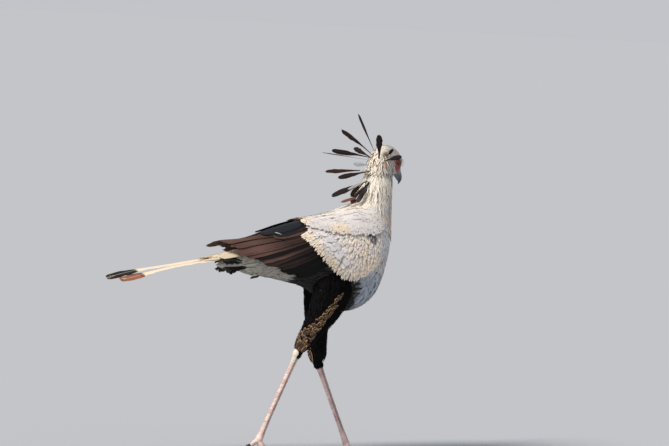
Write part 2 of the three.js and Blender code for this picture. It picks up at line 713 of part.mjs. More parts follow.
for (const side of ["right", "left"]) {
  const foot = new THREE.Group();
  foot.position.set(TOE_BASE[side][0], TOE_BASE[side][1], 0);
  foot.rotation.z = radians(FOOT_YAW[side]);
  foot.updateMatrix();
  bird.add(foot);
  const turnBack = foot.matrix.clone().invert();
  const [, shankEnd, along] = shankEnds(side);
  const start = shankEnd.addScaledVector(along, GAP).applyMatrix4(turnBack);
  const ball = new THREE.Vector3(0, 0, TOE_BASE[side][2]);
  const path = [
    [start.toArray(), 11, 11],
    [ball.toArray(), 12, 13],
    [start.lerp(ball, 1.9).toArray(), 6, 7],
  ];
  let body = limb(path, FOOT_SIDES);
  for (const [name, spread, length] of TOES) {
    const yaw = radians(side === "right" ? spread : -spread);
    const heights = name === "hind" ? HIND_HEIGHTS[side] : TOE_HEIGHTS[side];
    const [dx, dy] = [Math.cos(yaw), Math.sin(yaw)];
    const onward = (out, z) => [dx * out, dy * out, z];
    const toe = heights.map(([t, z], i) => [onward(length * t, z), TOE_THICKNESS[i], TOE_THICKNESS[i]]);
    toe.push([onward(length + 3, heights.at(-1)[1]), TOE_THICKNESS.at(-1), TOE_THICKNESS.at(-1)]);
    body = body.add(beyond(limb(toe, FOOT_SIDES), onward(length, 0), onward(-1, 0)));
    const claw = CLAW.map(([out, up, fore, aside]) => [
      onward(length + out, heights.at(-1)[1] + up),
      fore,
      aside,
    ]);
    const clawFace = onward(length + GAP, 0);
    part("claw_" + name + "_" + side, beyond(limb(claw, 6), clawFace, onward(1, 0)), materials.claw, foot);
  }
  part("foot_" + side, body.trimByPlane([0, 0, 1], 0), materials.leg, foot);
}

// The origin is on the ground, under the middle of the bird.
bird.updateMatrixWorld(true);
const reach = new THREE.Box3().setFromObject(bird, true);
const middle = reach.getCenter(new THREE.Vector3());
bird.position.set(-middle.x, -middle.y, -reach.min.z);
export default bird;
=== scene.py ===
from math import cos, pi, radians, sin

import bpy
import numpy as np
from mathutils import Matrix, Vector


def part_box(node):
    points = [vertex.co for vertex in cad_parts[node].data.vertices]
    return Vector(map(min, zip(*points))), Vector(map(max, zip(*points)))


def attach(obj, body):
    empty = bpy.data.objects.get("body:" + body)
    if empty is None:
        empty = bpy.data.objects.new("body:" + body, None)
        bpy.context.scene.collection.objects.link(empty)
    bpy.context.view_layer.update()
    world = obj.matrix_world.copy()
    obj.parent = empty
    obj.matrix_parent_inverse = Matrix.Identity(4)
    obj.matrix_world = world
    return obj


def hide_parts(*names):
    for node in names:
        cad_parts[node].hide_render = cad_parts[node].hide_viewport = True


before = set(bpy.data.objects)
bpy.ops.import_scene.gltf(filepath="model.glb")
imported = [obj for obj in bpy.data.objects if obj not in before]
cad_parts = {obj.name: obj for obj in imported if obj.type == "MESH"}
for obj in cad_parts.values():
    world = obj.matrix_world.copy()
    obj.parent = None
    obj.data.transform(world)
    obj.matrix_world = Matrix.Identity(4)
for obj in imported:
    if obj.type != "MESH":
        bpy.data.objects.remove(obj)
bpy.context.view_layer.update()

# Place and camera. Sizes are in millimetres from a point on the ground under the belly, with +X forward and
# -Y the right side, and are set into the frame by the right eye. A long lens looks from the right and a
# little behind, rolled by the few degrees that the photograph leans.
MM = 0.001
HEAD_AT = np.array([180.0, 5.0, 957.0])
HEAD_YAW, HEAD_PITCH = 12, 40
EYE_AT, EYE_RADIUS = np.array([20.0, 22.0, 8.0]), 10.0
head_turn = np.array(Matrix.Rotation(radians(HEAD_YAW), 3, "Z")
                     @ Matrix.Rotation(radians(HEAD_PITCH), 3, "Y"))


def from_head(points):
    return HEAD_AT + np.asarray(points, float) @ head_turn.T


low, high = (np.array(corner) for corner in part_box("eye_right"))
origin = (low + high) / 2 - from_head(EYE_AT * [1, -1, 1]) * MM


def place(points):
    return origin + np.asarray(points, float) * MM


VIEW_AZIMUTH, VIEW_HEIGHT, VIEW_ROLL = radians(-30), radians(3), radians(3)
PIXEL = 3.25
ORIGIN_PIXEL = (324.84, 453.07)
FRAME_SIZE = (669, 446)
DISTANCE = 18000
SENSOR = 36
right = np.array([cos(VIEW_AZIMUTH), sin(VIEW_AZIMUTH), 0])
back = np.array([sin(VIEW_AZIMUTH) * cos(VIEW_HEIGHT), -cos(VIEW_AZIMUTH) * cos(VIEW_HEIGHT),
                 sin(VIEW_HEIGHT)])
upward = np.cross(back, right)
image_x = right * cos(VIEW_ROLL) + upward * sin(VIEW_ROLL)
image_y = upward * cos(VIEW_ROLL) - right * sin(VIEW_ROLL)
aim = PIXEL * ((FRAME_SIZE[0] / 2 - ORIGIN_PIXEL[0]) * image_x
               + (ORIGIN_PIXEL[1] - FRAME_SIZE[1] / 2) * image_y)
camera = bpy.data.objects.new("camera", bpy.data.cameras.new("camera"))
bpy.context.collection.objects.link(camera)
camera.data.sensor_width = SENSOR
camera.data.lens = SENSOR * DISTANCE / (FRAME_SIZE[0] * PIXEL)
camera.data.clip_end = 100
turn = Matrix(np.stack([image_x, image_y, back], 1).tolist()).to_4x4()
camera.matrix_world = Matrix.Translation(place(aim + back * DISTANCE)) @ turn
bpy.context.scene.camera = camera

# The skin under the plumage: one closed surface over trunk, neck, folded wings, thighs, shanks and feet. It
# is lofted through the same stations as the solids, each part drawn in by the depth of its coat, and fused.
SKIN_DEPTH, SHOULDER_DEPTH, THIGH_COAT = 10, 40, 7
NECK_FROM = 7
# A row of the body: x, z, lean, half width, height above, depth below. A neck ray: its angle from straight
# down about the pivot, inner reach, outer reach, half width. A station of a limb: its place, half depth, half
# width.
TRUNK = [
    [-330, 628, 10, 34, 44, 48],
    [-265, 636, 6, 54, 62, 66],
    [-195, 644, 3, 71, 84, 86],
    [-120, 644, 2, 84, 104, 104],
    [-45, 638, 0, 90, 126, 138],
    [30, 635, 0, 91, 154, 172],
]
NECK_PIVOT = (30, 890)
NECK_RAYS = [
    [15, 94, 398, 85],
    [30, 90, 306, 71],
    [45, 79, 231, 55],
    [60, 68, 192, 46],
    [75, 65, 172, 41],
    [90, 67, 167, 37],
]
NECK_TOP_RISE, NECK_TOP_TAPER = 25, 2
COAT = [26, 22, 18, 18, 18, 18, 17, 12, 4, 0, 0, 0, 0]
WING_REAR = [[-480, 650, 10, 40, 32, 48], [-405, 644, 10, 56, 48, 58]]


def between(rows, s):
    rows, s = np.asarray(rows, float), np.asarray(s, float)
    i = np.clip(np.floor(s).astype(int), 0, len(rows) - 2)
    t = (s - i)[..., None]
    a, b, d, e = (rows[np.clip(i + k, 0, len(rows) - 1)] for k in (-1, 0, 1, 2))
    return b + 0.5 * t * (d - a + t * (2 * a - 5 * b + 4 * d - e + t * (3 * (b - d) + e - a)))


neck = []
for angle, inner, outer, side in NECK_RAYS:
    middle, reach = (inner + outer) / 2, (outer - inner) / 2
    x = NECK_PIVOT[0] + middle * sin(radians(angle))
    neck.append([x, NECK_PIVOT[1] - middle * cos(radians(angle)), angle, side, reach, reach])
x, z, lean, side, up, down = neck[-1]
neck.append([x + 2, z + NECK_TOP_RISE, 90, *(size - NECK_TOP_TAPER for size in (side, up, down))])
BODY = TRUNK + neck
COATED = WING_REAR + [
    [x, z, lean, side + coat, up + coat, down + 0.6 * coat]
    for (x, z, lean, side, up, down), coat in zip(BODY, COAT)
]
SHOULDERS = [
    [x, z, lean, side + coat, up + coat, down - SHOULDER_DEPTH]
    for (x, z, lean, side, up, down), coat in zip(BODY, COAT)
]


def on_rows(rows):
    def surface(s, a, grow=0.0):
        x, z, lean, side, up, down = np.moveaxis(between(rows, s), -1, 0)
        rise = (np.where(np.sin(a) > 0, up, down) + grow) * np.sin(a)
        turn = np.radians(lean)
        return np.stack([x - np.sin(turn) * rise, (side + grow) * np.cos(a), z + np.cos(turn) * rise], -1)
    return surface


def unit(v):
    return v / np.maximum(np.linalg.norm(v, axis=-1, keepdims=True), 1e-9)


def on_limb(stations):
    rows = np.array([[*point, fore, aside] for point, fore, aside in stations], float)

    def surface(s, a, grow=0.0):
        here = between(rows, s)
        along = unit(between(rows, s + 0.05)[..., :3] - between(rows, s - 0.05)[..., :3])
        lateral = unit(np.array([0, 1.0, 0]) - along * along[..., 1:2])
        front = np.cross(lateral, along)
        fore, aside = (here[..., 3] + grow)[..., None], (here[..., 4] + grow)[..., None]
        return here[..., :3] + front * fore * np.cos(a)[..., None] + lateral * aside * np.sin(a)[..., None]
    return surface


def select(*objects):
    bpy.ops.object.select_all(action="DESELECT")
    for thing in objects:
        thing.select_set(True)
    bpy.context.view_layer.objects.active = objects[0]


def tube(name, surface, stations, sides, grow=0.0):
    around = np.linspace(0, 2 * pi, sides + 1)
    rings = surface(*np.broadcast_arrays(np.asarray(stations, float)[:, None], around), grow)
    bpy.ops.object.select_all(action="DESELECT")
    bpy.ops.mesh.primitive_grid_add(x_subdivisions=sides, y_subdivisions=len(stations) - 1)
    shape = bpy.context.object
    shape.name = name
    shape.data.vertices.foreach_set("co", place(rings).ravel())
    bpy.ops.object.mode_set(mode="EDIT")
    bpy.ops.mesh.select_all(action="SELECT")
    bpy.ops.mesh.remove_doubles(threshold=1e-6)
    bpy.ops.mesh.fill_holes(sides=0)
    bpy.ops.mesh.select_all(action="SELECT")
    bpy.ops.mesh.normals_make_consistent(inside=False)
    bpy.ops.object.mode_set(mode="OBJECT")
    return shape


def finish(shape, kind, **values):
    select(shape)
    modifier = shape.modifiers.new(kind.lower(), kind)
    for key, value in values.items():
        setattr(modifier, key, value)
    bpy.ops.object.modifier_apply(modifier=modifier.name)


def fuse(name, shapes, voxel, smooth):
    select(*shapes)
    bpy.ops.object.join()
    body = bpy.context.object
    body.name = name
    finish(body, "REMESH", mode="VOXEL", voxel_size=voxel * MM)
    finish(body, "SMOOTH", factor=0.5, iterations=smooth)
    return body


THIGH = {
    "right": [
        [[-20, -46, 595], 66, 40], [[-28, -50, 555], 72, 42], [[-42, -53, 510], 66, 40],
        [[-70, -54, 455], 52, 35], [[-101, -53, 408], 38, 28], [[-124, -52, 372], 29, 23],
        [[-143, -51, 344], 21, 19], [[-150, -50.5, 332], 15, 14.5],
    ],
    "left": [
        [[-10, 46, 595], 66, 40], [[-12, 50, 555], 70, 42], [[-16, 52, 510], 62, 40],
        [[-22, 52, 455], 50, 35], [[-24, 50, 400], 38, 30], [[-23, 47, 350], 33, 26],
        [[-21, 44, 310], 30, 23], [[-19, 43, 290], 24, 20],
    ],
}
TOE_BASE = {"right": [-274, -46, 50], "left": [104, 34, 14]}
TAIL_ROOT = [
    [[-322, 0, 628], 46, 35], [[-350, 0, 623], 40, 36], [[-385, 0, 615], 31, 34], [[-415, 0, 608], 18, 28],
    [[-436, 0, 606], 7, 20],
]
NAPE = [
    [[neck[-1][0], 0, neck[-1][1]], neck[-1][4], neck[-1][3]], [[152, 1, 938], 46, 35],
    [[156, 2, 958], 42, 33], [[161, 3, 976], 33, 28], [[166, 4, 988], 16, 16],
]
body_surface, coat_surface = on_rows(BODY), on_rows(COATED)
thigh_surface = {side: on_limb(THIGH[side]) for side in THIGH}
tail_surface, nape_surface = on_limb(TAIL_ROOT), on_limb(NAPE)
flesh = [
    tube("trunk", body_surface, np.linspace(0, len(BODY) - 1, 50), 40, -SKIN_DEPTH),
    tube("back", on_rows(SHOULDERS), np.linspace(0.6, NECK_FROM + 0.2, 30), 40, -SKIN_DEPTH),
    tube("rump", tail_surface, np.linspace(0, len(TAIL_ROOT) - 1, 12), 24, -5),
    tube("nape", nape_surface, np.linspace(0, len(NAPE) - 1.6, 12), 24, -8),
]
for side in THIGH:
    flesh.append(tube("thigh", thigh_surface[side], np.linspace(0, len(THIGH[side]) - 1, 24), 24,
                      -THIGH_COAT))
skin = fuse("skin", flesh, voxel=6, smooth=6)

# Legs and feet, bare: a long shank, a ball and four short padded toes, the right foot on its toe tips.
SHANK_TOP, BALL, SOLE = 8, 12, 0.3
# A row of the shank: share of its length, half depth, half width. A toe: name, spread in degrees, length. A
# toe's heights: share of its length, height of its middle. A row of a claw: reach past the toe, rise, half
# depth, half width.
SHANK = [[0, 14, 12], [0.05, 15, 12.5], [0.12, 10.5, 9.5], [0.3, 9, 8], [0.75, 8.5, 7.5], [0.92, 10, 9.5],
         [1, 11, 11]]
TOES = [("middle", 0, 62), ("inner", 36, 44), ("outer", -34, 46), ("hind", 168, 26)]
TOE_THICKNESS = [9, 8.6, 8, 7.2, 5.4]
TOE_HEIGHTS = {
    "right": [[0, 50], [0.18, 31], [0.42, 10], [0.7, 6.2], [1, 4.8]],
    "left": [[0, 14], [0.18, 9.6], [0.42, 7], [0.7, 6.2], [1, 4.8]],
}
HIND_HEIGHTS = {
    "right": [[0, 48], [0.25, 44.5], [0.5, 40.5], [0.75, 35.5], [1, 29]],
    "left": [[0, 12], [0.25, 8.4], [0.5, 7], [0.75, 6.2], [1, 4.8]],
}
FOOT_YAW = {"right": -6, "left": 4}
CLAW = [[-3, 0, 4.6, 4], [6, 1.2, 4.2, 3.6], [12, -0.4, 2.8, 2.4], [16, -3.4, 0.9, 0.8]]
shank_surface, toe_surface, claw_surface, feet = {}, {}, {}, []
for side in THIGH:
    start, base = np.array(THIGH[side][-1][0], float), np.array(TOE_BASE[side], float)
    along = unit(base - start)
    end = base - along * BALL
    start = start - along * SHANK_TOP
    shank_surface[side] = on_limb([[start + (end - start) * t, fore, aside] for t, fore, aside in SHANK])
    feet.append(tube("shank", shank_surface[side], np.linspace(0, 6, 90), 28))
    ball = on_limb([[end - along * 4, 11, 11], [base, 12, 13], [end + (base - end) * 1.9, 6, 7]])
    feet.append(tube("ball", ball, np.linspace(0, 2, 12), 24))
    for toe, spread, length in TOES:
        yaw = radians(FOOT_YAW[side] + (spread if side == "right" else -spread))
        outwards = np.array([cos(yaw), sin(yaw), 0])
        heights = HIND_HEIGHTS[side] if toe == "hind" else TOE_HEIGHTS[side]
        stations = [
            [base * [1, 1, 0] + outwards * length * t + [0, 0, z], thick, thick]
            for (t, z), thick in zip(heights, TOE_THICKNESS)
        ]
        toe_surface[toe, side] = on_limb(stations)
        feet.append(tube("toe", toe_surface[toe, side], np.linspace(0, 4, 30), 20))
        claw_surface[toe, side] = on_limb([
            [base * [1, 1, 0] + outwards * (length + out) + [0, 0, heights[-1][1] + up], fore, aside]
            for out, up, fore, aside in CLAW
        ])
feet = fuse("feet", feet, voxel=1.8, smooth=4)
select(feet)
bpy.ops.object.mode_set(mode="EDIT")
bpy.ops.mesh.select_all(action="SELECT")
bpy.ops.mesh.bisect(plane_co=place([0, 0, SOLE]), plane_no=(0, 0, 1), clear_inner=True, use_fill=True)
bpy.ops.object.mode_set(mode="OBJECT")

# Head under its feathers: skull, brow ridges, lids round the eye sockets, the cere with its nostrils, and the
# line of the mouth running back to the gape.
SKULL = [
    [-60, 7, 8, 10], [-52, 20, 22, 24], [-38, 29, 33, 34], [-20, 33, 42, 39], [0, 34, 45, 39],
    [18, 32, 44.5, 34], [34, 26.5, 42.5, 27], [46, 19, 32, 20], [54, 14, 19.2, 16],
    [60, 12.2, 14.2, 13.8], [66, 8.5, 10.5, 10],
]
CROWN_SQUARE = 0.8
HEAD_COAT = [3, 4, 5, 5, 4.5, 3.5, 2.5, 1, 0, 0, 0]
EYE_SLACK = 0.35
EYE_AXIS = [0.26, 1, -0.05]
NOSTRIL_AT, NOSTRIL_RADII = [57.5, 12.6, 5.5], [3.2, 1.5, 1.2]
LIP_DROP, LIP_WIDTH = 1.6, 1.3
# A ring of the lids: spread round the eye in degrees, narrowing, reach, thickness. A fold: reach, height.
LIDS = [(68, 4, 12.4, 4.2), (47, 10, 11, 1.5), (57, 8, 11.6, 1.4)]
FOLDS = [(15, 13), (18.5, 16)]
GAPE = [[62, -7], [54, -6.8], [46, -7], [38, -7.6], [32, -8.8]]
BROW = [[[2, 27, 18], 2, 3], [[12, 28, 22], 3, 4], [[26, 24.5, 21.5], 3, 4], [[38, 18, 17], 2, 3]]


def in_head(surface):
    return lambda s, a, grow=0.0: from_head(surface(s, a, grow))


def mirrored(points, side):
    return np.asarray(points, float) * [1, side, 1]


def corners(thing):
    points = np.empty(len(thing.data.vertices) * 3)
    thing.data.vertices.foreach_get("co", points)
    return points.reshape(-1, 3)


def ball(name, centre, radii):
    bpy.ops.mesh.primitive_uv_sphere_add(segments=48, ring_count=24, radius=1)
    made = bpy.context.object
    made.name = name
    points = from_head(corners(made) * radii + centre)
    made.data.vertices.foreach_set("co", place(points).ravel())
    return made


def skull_surface(s, a, grow=0.0, coat=0.0):
    x, side, up, down = np.moveaxis(between(SKULL, s), -1, 0)
    power = np.where(np.sin(a) > 0, CROWN_SQUARE, 1)
    depth = grow - coat * between(np.array(HEAD_COAT)[:, None], s)[..., 0]
    across = np.sign(np.cos(a)) * np.abs(np.cos(a)) ** power
    rise = np.sign(np.sin(a)) * np.abs(np.sin(a)) ** power
    height = (np.where(np.sin(a) > 0, up, down) + depth) * rise
    return from_head(np.stack([x, (side + depth) * across, height], -1))


def bare_skull(s, a, grow=0.0):
    return skull_surface(s, a, grow, coat=1)


def skull_side(x, z):
    s = np.interp(x, [row[0] for row in SKULL], np.arange(len(SKULL)))
    _, side, up, down = between(SKULL, s)
    power = CROWN_SQUARE if z > 0 else 1
    sine = min(abs(z) / (up if z > 0 else down), 0.97) ** (1 / power)
    return side * (1 - sine * sine) ** (power / 2)


def round_eye(side, spread, turn, reach):
    axis = unit(mirrored(EYE_AXIS, side))
    ahead = unit(np.cross([0, 0, 1], axis)) * -side
    up = np.cross(ahead, axis) * side
    out = cos(spread) * axis + sin(spread) * (cos(turn) * ahead + sin(turn) * up)
    return mirrored(EYE_AT, side) + reach * out


SIDES = ((-1, "right"), (1, "left"))
parts, holes = [tube("skull", bare_skull, np.linspace(0, len(SKULL) - 1, 60), 48)], []
for side in (-1, 1):
    brow = [[mirrored(at, side), fore, aside] for at, fore, aside in BROW]
    parts.append(tube("brow", in_head(on_limb(brow)), np.linspace(0, 3, 24), 16))
    for spread, narrow, reach, thick in LIDS:
        ring = [
            [round_eye(side, radians(spread - narrow * sin(q) ** 2), q, reach), thick, thick]
            for q in np.linspace(0, 2 * pi, 33)
        ]
        parts.append(tube("lids", in_head(on_limb(ring)), np.linspace(0, 32, 97), 12))
    for reach, tall in FOLDS:
        arc = []
        for q in np.linspace(pi * 0.98, pi * 1.75, 17):
            x, z = EYE_AT[0] + reach * cos(q), EYE_AT[2] + tall * sin(q)
            arc.append([[x, side * (skull_side(x, z) - 0.5), z], 1.1, 1.1])
        parts.append(tube("fold", in_head(on_limb(arc)), np.linspace(0, 16, 49), 8))
    for drop in (LIP_DROP, -LIP_DROP):
        lip = [[[x, side * (skull_side(x, z - drop) - 0.5), z - drop], LIP_WIDTH, LIP_WIDTH] for x, z in GAPE]
        parts.append(tube("lip", in_head(on_limb(lip)), np.linspace(0, len(GAPE) - 1, 24), 8))
    slit = [[[x, side * skull_side(x, z), z], 0.5, 1.6] for x, z in GAPE]
    holes.append(tube("mouth", in_head(on_limb(slit)), np.linspace(0, len(GAPE) - 1, 24), 8))
    holes.append(ball("socket", mirrored(EYE_AT, side), [EYE_RADIUS + EYE_SLACK] * 3))
    holes.append(ball("nostril", mirrored(NOSTRIL_AT, side), NOSTRIL_RADII))
head = fuse("bare_head", parts, voxel=1.1, smooth=3)
for hole in holes:
    finish(head, "BOOLEAN", object=hole, operation="DIFFERENCE", solver="MANIFOLD")
    bpy.data.objects.remove(hole)
for part in (head, feet):
    finish(skin, "BOOLEAN", object=part, operation="UNION", solver="MANIFOLD")
    bpy.data.objects.remove(part)

# Floor and light: a plain pale matt floor under soft studio light. A pale sky fills the shadows, and one
# broad warm lamp stands high on the left of the view, where the sun stands in the photograph.
FLOOR_SIZE = 400
FLOOR_FINISH = {"Base Color": (0.395, 0.41, 0.44, 1), "Roughness": 1.0, "Specular IOR Level": 0}
SKY_COLOUR, SKY_STRENGTH = (0.93, 0.95, 1.0, 1), 0.58
LAMP_ACROSS, LAMP_ABOVE, LAMP_NEAR = -1400, 1900, 1500
LAMP_WIDTH, LAMP_STRENGTH, LAMP_COLOUR = 14, 3.9, (1, 0.94, 0.86)


def nodes_of(tree):
    def feed(node, inputs):
        for key, value in dict(inputs).items():
            if isinstance(value, bpy.types.Node):
                value = value.outputs[0]
            if isinstance(value, bpy.types.NodeSocket):
                tree.links.new(value, node.inputs[key])
            else:
                node.inputs[key].default_value = value
        return node

    def add(kind, inputs=(), **settings):
        node = tree.nodes.new("ShaderNode" + kind)
        for key, value in settings.items():
            setattr(node, key, value)
        return feed(node, inputs)

    def calc(operation, *values):
        return add("Math", enumerate(values), operation=operation)
    return add, calc, feed


def material(name, values=()):
    made = bpy.data.materials.new(name)
    made.use_nodes = True
    add, calc, feed = nodes_of(made.node_tree)
    shader = feed(made.node_tree.nodes["Principled BSDF"], values)
    return made, add, calc, lambda inputs: feed(shader, inputs)


bpy.ops.mesh.primitive_plane_add(size=FLOOR_SIZE, location=place([0, 0, 0]).tolist())
floor = bpy.context.object
floor.name = "floor"
floor.data.materials.append(material("studio_floor", FLOOR_FINISH)[0])
world = bpy.data.worlds.new("studio")
bpy.context.scene.world = world
world.use_nodes = True
world.node_tree.nodes["Background"].inputs["Color"].default_value = SKY_COLOUR
world.node_tree.nodes["Background"].inputs["Strength"].default_value = SKY_STRENGTH
bpy.context.scene.view_settings.view_transform = "Standard"
lamp = bpy.data.objects.new("key", bpy.data.lights.new("key", "SUN"))
bpy.context.collection.objects.link(lamp)
lamp.data.angle, lamp.data.energy, lamp.data.color = radians(LAMP_WIDTH), LAMP_STRENGTH, LAMP_COLOUR
towards = Vector(LAMP_ACROSS * right + LAMP_ABOVE * np.array([0, 0, 1]) + LAMP_NEAR * back)
lamp.location = Vector(place([0, 0, 0])) + towards * MM
lamp.rotation_euler = towards.to_track_quat("Z", "Y").to_euler()

# Plumage: every feather is a thin closed vane of its own mesh, rooted in the skin, lying over the next one
# down. Its Vane map runs across and along it, Tint and Edge are its two colours, and OFBake gives it a small
# patch at its root's place on the unwrapped skin.
BAKE_PATCH = 0.003
FINISH_SLOTS = {
    "covert_feather": "wing_feathers", "flight_feather": "wing_feathers", "tertial_feather": "wing_feathers",
    "long_tail_right": "tail_feathers", "long_tail_left": "tail_feathers", "short_tail": "tail_feathers",
    "trouser_feather": "trousers", "speckled_feather": "trousers", "crest_feather": "head_feathers",
    "lash": "head_feathers", "scute": "leg_skin",
}
# Outlines of a contour feather and of a loose plume: share of the length, share of the half width.
CONTOUR = np.array([(0, 0.4), (0.25, 0.8), (0.55, 1), (0.8, 0.82), (0.94, 0.5), (1, 0.2)])
PLUME = np.array([(0, 0.5), (0.4, 1), (0.75, 0.7), (1, 0.12)])
STEP = 0.02
TRIES, MOST_TRIED, CROWDING = 60000, 40000, 5


def srgb(*values):
    v = np.array(values, float) / 255
    return np.where(v > 0.04045, ((v + 0.055) / 1.055) ** 2.4, v / 12.92)


def soft(value, low, high):
    t = np.clip((np.asarray(value, float) - low) / (high - low), 0, 1)
    return t * t * (3 - 2 * t)


def mix(a, b, share):
    return a + (b - a) * np.asarray(share)[..., None]


def drift(points, size):
    x, y, z = np.moveaxis(points / size, -1, 0)
    waves = np.sin(x * 1.7 + 2.1 * np.sin(z * 1.3 + y))
    waves = waves + np.sin(z * 2.3 + 1.7 * np.sin(x * 0.9 - y * 1.4) + 2)
    return 0.5 + 0.25 * waves


BACK_WHITE, BACK_CREAM, NECK_WHITE = srgb(212, 207, 206), srgb(228, 208, 184), srgb(234, 226, 212)
BREAST_GREY, UNDERTAIL_GREY = srgb(168, 177, 188), srgb(178, 172, 162)
RUMP_BLACK, FLANK_BLACK = srgb(30, 28, 32), srgb(22, 20, 21)


def plumage(points):
    points = np.asarray(points, float)
    x, y, z = np.moveaxis(points, -1, 0)
    colour = mix(BACK_WHITE, BACK_CREAM, 0.8 * soft(drift(points, 46), 0.55, 0.95))
    colour = mix(colour, NECK_WHITE, soft(z, 790, 870))
    colour = mix(colour, BREAST_GREY, soft(z, 650, 570) * soft(x, 40, 90))
    colour = mix(colour, UNDERTAIL_GREY, soft(x, -140, -190) * soft(z, 660, 640))
    colour = mix(colour, RUMP_BLACK, soft(x, -135, -150) * soft(x, -305, -290) * soft(z, 655, 670))
    flank = soft(z, 655, 625) * soft(x, -172, -150) * soft(x, 70, 30)
    belly = soft(z, 590, 560) * soft(x, -172, -150) * soft(x, 95, 60)
    return mix(colour, FLANK_BLACK, np.maximum(flank, belly))


def frames(surface, s, a, grow=0.0):
    here = surface(s, a, grow)
    along = unit(surface(s - 0.03, a, grow) - surface(s + 0.03, a, grow))
    around = surface(s, a + 0.03, grow) - surface(s, a - 0.03, grow)
    normal = unit(np.cross(along, around))
    outwards = np.sum(normal * (surface(s, a, grow + 1.0) - here), -1, keepdims=True)
    return here, along, normal * np.sign(outwards)


def slopes(surface, s, a):
    ds = (surface(s + STEP, a) - surface(s - STEP, a)) / (2 * STEP)
    da = (surface(s, a + STEP) - surface(s, a - STEP)) / (2 * STEP)
    return ds, da


def everywhere(points):
    return np.full(len(points), True)


def strew(surface, start, end, pitch, seed, keep=everywhere, arc=(0, 2 * pi)):
    rng = np.random.default_rng(seed)
    s, a = rng.uniform(start, end, TRIES), rng.uniform(*arc, TRIES)
    ds, da = slopes(surface, s, a)
    area = np.linalg.norm(np.cross(ds, da), axis=-1)
    wanted = int(CROWDING * area.mean() * (end - start) * (arc[1] - arc[0]) / pitch ** 2)
    picked = rng.choice(len(s), min(wanted, MOST_TRIED), p=area / area.sum())
    s, a = s[picked], a[picked]
    points = surface(s, a)
    inside = keep(points)
    s, a, points = s[inside], a[inside], points[inside]
    cells, chosen = {}, []
    for i, (p, cell) in enumerate(zip(points.tolist(), np.floor(points / pitch).astype(int).tolist())):
        near = (
            q
            for dx in (-1, 0, 1) for dy in (-1, 0, 1) for dz in (-1, 0, 1)
            for q in cells.get((cell[0] + dx, cell[1] + dy, cell[2] + dz), ())
        )
        if all((p[0] - q[0]) ** 2 + (p[1] - q[1]) ** 2 + (p[2] - q[2]) ** 2 > pitch * pitch for q in near):
            cells.setdefault(tuple(cell), []).append(p)
            chosen.append(i)
    return s[chosen], a[chosen], rng


def ragged(rng, count, outline, columns, fray):
    u = np.linspace(-1, 1, columns)
    t = np.broadcast_to(outline[None, :, :1], (count, len(outline), columns)).copy()
    share = np.broadcast_to(outline[None, :, 1:], t.shape) * u
    edge = np.abs(u) > 0.99
    share = share * (1 - np.where(edge, fray, fray / 3) * rng.random(t.shape))
    t[:, -2:] -= fray * 0.35 * rng.random(t[:, -2:].shape) * (1 - np.isclose(u, 0) * 0.8)
    return t, share


def vane_grid(t, share, root, along, normal, length, half, sink, rise, camber=0.25, bend=0.0, tilt=0.0):
    along, normal = unit(along), unit(normal)
    across = unit(np.cross(normal, along))
    normal = np.cross(along, across)
    n = len(root)
    length, half, sink, rise, bend, tilt = (
        np.broadcast_to(np.asarray(v, float), n)[:, None, None]
        for v in (length, half, sink, rise, bend, tilt)
    )
    lift = -sink + (rise + sink) * t ** 0.8 - camber * half * share ** 2
    lift = lift + bend * np.sin(pi * t) + tilt * half * share
    root, along, across, normal = (v[:, None, None] for v in (root, along, across, normal))
    grid = root + along * (length * t)[..., None] + across * (half * share)[..., None]
    return grid + normal * lift[..., None]


def reaching(surface, ends):
    def longer(s, a, grow=0.0):
        inside = np.clip(s, *ends)
        slope = (surface(inside + STEP, a, grow) - surface(inside - STEP, a, grow)) / (2 * STEP)
        return surface(inside, a, grow) + (s - inside)[..., None] * slope
    return longer


def hugging_grid(surface, s, a, t, share, along, across, length, half, lift):
    ds, da = slopes(surface, s, a)
    ss, sa, aa = (np.sum(p * q, -1) for p, q in ((ds, ds), (ds, da), (da, da)))
    grid_s, grid_a = (np.broadcast_to(v[:, None, None], t.shape).copy() for v in (s, a))
    scale = np.maximum(ss * aa - sa * sa, 0.02 * ss * aa)
    for way, reach in ((along, length * t), (across, half * share)):
        vs, va = np.sum(way * ds, -1), np.sum(way * da, -1)
        grid_s += ((aa * vs - sa * va) / scale)[:, None, None] * reach
        grid_a += ((ss * va - sa * vs) / scale)[:, None, None] * reach
    return surface(grid_s, grid_a, lift)


